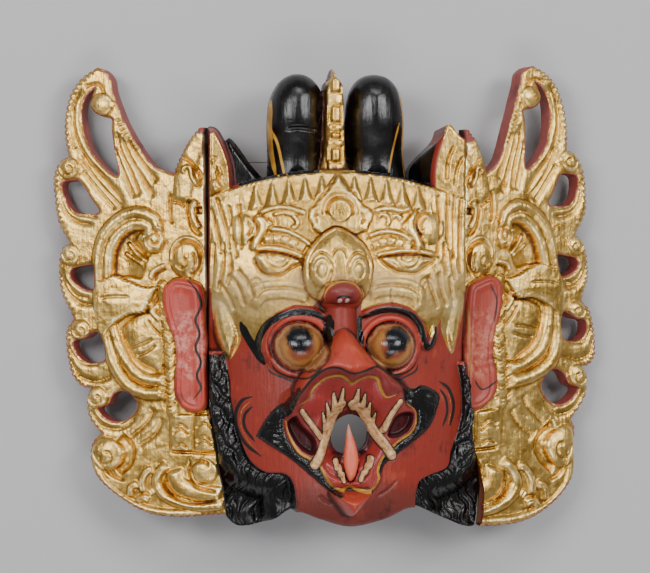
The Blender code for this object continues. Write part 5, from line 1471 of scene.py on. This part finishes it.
class MASK_OT_head(bpy.types.Operator):
    """Carve the block with the face, crown, topknot and hair"""
    bl_idname = "mask.head"
    bl_label = "Carve head"

    def execute(self, context):
        pitch = context.scene.mask_settings.head_pitch / MM
        xy, tris, ids = cells_with_grid(HEAD_BOX, pitch, lambda x, y: head_relief(x, y)[0])
        x, y = xy[:, 0], xy[:, 1]
        _, h = head_relief(x, y)
        b = hollow(x, y, h, WALL)
        paint = head_paint(x, y)
        paint["relief"] = np.minimum(depth_of(h, tris, 4), np.where(y > rim(x) - 1.5, 0.1, 9.0))
        # the gilded drops at the temples get a fixed raised value, which paints their gold lighter: a
        # painted highlight
        paint["relief"] = np.where(paint.pop("tusk") < 0, 0.55, paint["relief"])
        front = np.stack([x, y, h], 1)
        rear = np.stack([x, y, b], 1)
        shaped("carved_head", xy, tris, rear_cells(ids, tris), front, rear, paint, head_material(),
               "mask_head")
        return {"FINISHED"}


class MASK_OT_wings(bpy.types.Operator):
    """Carve the two pierced wings"""
    bl_idname = "mask.wings"
    bl_label = "Carve wings"

    def execute(self, context):
        pitch = context.scene.mask_settings.wing_pitch / MM
        for name, side, slot in (("carved_wing_left", -1, "wing_left"),
                                 ("carved_wing_right", 1, "wing_right")):
            xy, tris, ids = cells_with_grid(WING_BOX, pitch, lambda a, y: wing_relief(a, y)[0])
            a, y = xy[:, 0], xy[:, 1]
            sd, w = wing_relief(a, y)
            paint = wing_paint(a, y, sd, side)
            paint["relief"] = depth_of(w, tris, 5)
            front = wing_place(side, a, y, w, 0.0)
            rear = wing_place(side, a, y, np.full(a.shape, -WING_THICKNESS), 1.0)
            faces = rear_cells(ids, tris)
            if side > 0:
                tris = tris[:, ::-1]
                faces = (faces[0][:, ::-1], [f[::-1] for f in faces[1]])
            mat = wing_material("gilded_softwood_board_" + ("left" if side < 0 else "right"), side < 0)
            shaped(name, xy, tris, faces, front, rear, paint, mat, slot)
        return {"FINISHED"}


class MASK_OT_small(bpy.types.Operator):
    """Make the tongue and the wire"""
    bl_idname = "mask.small"
    bl_label = "Make tongue and wire"

    def execute(self, context):
        line = curve(TONGUE, True)
        xy, tris, ids = cells_with_grid(TONGUE_BOX, TONGUE_PITCH, lambda x, y: region(x, y, line))
        x, y = xy[:, 0], xy[:, 1]
        flat = SEAT_Z + FIT_GAP
        face = tongue_face(x, y) * TONGUE_THICKNESS
        front = np.stack([x, y, flat + face], 1)
        rear = np.stack([x, y, np.full(x.shape, flat)], 1)
        # softwood brushed with thin red paint, rubbed pink to the bare wood at the tip
        mat, tree, place = started("thinly_painted_softwood")
        thin = inside(tree, "low", 0.25, 0.5)
        coat = coated(tree, (srgb("C88A78"), 0.6, 0.0),
                      brushed_paint(tree, place, "E08C6C", "D0644A", "A8452C"), thin)
        finished(mat, coat, knife_marks(tree, place))
        shaped("carved_tongue", xy, tris, rear_cells(ids, tris), front, rear,
               {"low": step((y + 106.0) / 14.0)}, mat, "tongue")
        data = bpy.data.curves.new("taut_wire", "CURVE")
        data.dimensions = "3D"
        data.bevel_depth = WIRE_RADIUS * MM
        data.bevel_resolution = 4
        data.use_fill_caps = True
        spline = data.splines.new("POLY")
        spline.points.add(1)
        for point, place in zip(spline.points, (WIRE_FROM, WIRE_TO)):
            point.co = (*((place[n] + SHIFT[n]) * MM for n in range(3)), 1.0)
        wire = bpy.data.objects.new("taut_wire", data)
        # drawn steel wire gone dull: grey metal with a thin brown film in 2 mm patches, and the marks
        # of drawing, too fine to show, at 0.4 mm
        mat, tree, place = started("drawn_steel_wire")
        film = add(tree, "ShaderNodeTexNoise", {"Vector": place, "Scale": per(2), "Detail": 3.0})
        grey = add(tree, "ShaderNodeValToRGB", {0: film}, stops=[(0.3, "3A3431"), (0.7, "6E6C6C")])
        draw = add(tree, "ShaderNodeTexNoise", {"Vector": place, "Scale": per(0.4)})
        data.materials.append(finished(mat, (grey, 0.4, 1.0), [(draw, 0.02, 1.0)]))
        context.scene.collection.objects.link(wire)
        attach(wire, "root")
        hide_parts("hanging_wire")
        return {"FINISHED"}


class MASK_OT_stage(bpy.types.Operator):
    """Lay out the floor, the lights and the camera"""
    bl_idname = "mask.stage"
    bl_label = "Set the stage"

    def execute(self, context):
        scene = context.scene
        settings = scene.mask_settings
        mesh = bpy.data.meshes.new("studio_floor")
        s = FLOOR_HALF * MM
        mesh.from_pydata([(-s, -s, 0), (s, -s, 0), (s, s, 0), (-s, s, 0)], [], [(0, 1, 2, 3)])
        floor = bpy.data.objects.new("studio_floor", mesh)
        scene.collection.objects.link(floor)
        # a roll of matt pale grey paper; its fibres are too fine to show, so they are drawn at 2.5 mm
        mat, tree, place = started("matt_grey_paper")
        fibre = add(tree, "ShaderNodeTexNoise", {"Vector": place, "Scale": per(2.5), "Detail": 3.0})
        finished(mat, ((*settings.floor_colour, 1.0), 0.85, 0.0), [(fibre, 0.05, 1.0)])
        mesh.materials.append(mat)
        world = bpy.data.worlds.new("studio")
        world.use_nodes = True
        world.node_tree.nodes["Background"].inputs[0].default_value = (0.78, 0.78, 0.8, 1.0)
        world.node_tree.nodes["Background"].inputs[1].default_value = 0.34
        scene.world = world
        power = settings.key_power
        for name, place, size, share in (("softbox_left", (-0.95, 0.42, 1.5), (0.5, 0.8), 1.0),
                                         ("softbox_right", (0.95, 0.5, 1.5), (0.5, 0.8), 1.0),
                                         ("overhead", (0.0, 1.5, 1.5), (1.4, 0.5), 0.85),
                                         ("fill_below", (0.0, -1.0, 1.6), (1.2, 0.5), 0.6)):
            lamp = bpy.data.lights.new(name, "AREA")
            lamp.shape = "RECTANGLE"
            lamp.size, lamp.size_y = size
            lamp.energy = power * share
            obj = bpy.data.objects.new(name, lamp)
            obj.location = place
            aim = -np.array(place) / np.linalg.norm(place)
            obj.rotation_euler = (math.acos(-aim[2]), 0.0, math.atan2(aim[1], aim[0]) - math.pi / 2)
            scene.collection.objects.link(obj)
        # a little light inside the hollow, so that the mouth's hole shows the paper behind it
        lamp = bpy.data.lights.new("behind_the_mouth", "AREA")
        lamp.size = 0.05
        lamp.energy = 0.02
        obj = bpy.data.objects.new("behind_the_mouth", lamp)
        obj.location = (0.0, -0.06, 0.06)
        scene.collection.objects.link(obj)
        camera = bpy.data.cameras.new("camera")
        camera.sensor_width = SENSOR_WIDTH
        camera.lens = SENSOR_WIDTH * CAMERA_DISTANCE / VIEW_WIDTH
        camera.clip_end = 20.0
        obj = bpy.data.objects.new("camera", camera)
        turn = math.radians(CAMERA_TURN)
        obj.location = ((CAMERA_AIM[0] - CAMERA_DISTANCE * math.sin(turn) + SHIFT[0]) * MM,
                        (CAMERA_AIM[1] + SHIFT[1]) * MM,
                        (CAMERA_AIM[2] + CAMERA_DISTANCE * math.cos(turn)) * MM)
        obj.rotation_euler = (0.0, -turn, 0.0)
        scene.collection.objects.link(obj)
        scene.camera = obj
        return {"FINISHED"}


class MASK_PT_panel(bpy.types.Panel):
    """Sizes of the mask's scene"""
    bl_label = "Winged mask"
    bl_idname = "MASK_PT_panel"
    bl_space_type = "VIEW_3D"
    bl_region_type = "UI"
    bl_category = "Mask"

    def draw(self, context):
        settings = context.scene.mask_settings
        for name in ("head_pitch", "wing_pitch", "floor_colour", "key_power"):
            self.layout.prop(settings, name)
        for kind in (MASK_OT_head, MASK_OT_wings, MASK_OT_small, MASK_OT_stage):
            self.layout.operator(kind.bl_idname)


CLASSES = (MaskSettings, MASK_OT_head, MASK_OT_wings, MASK_OT_small, MASK_OT_stage, MASK_PT_panel)


def register():
    for kind in CLASSES:
        bpy.utils.register_class(kind)
    bpy.types.Scene.mask_settings = PointerProperty(type=MaskSettings)


def unregister():
    del bpy.types.Scene.mask_settings
    for kind in reversed(CLASSES):
        bpy.utils.unregister_class(kind)


def main():
    register()
    bpy.ops.mask.stage()
    bpy.ops.mask.head()
    bpy.ops.mask.wings()
    bpy.ops.mask.small()


if __name__ == "__main__":
    main()
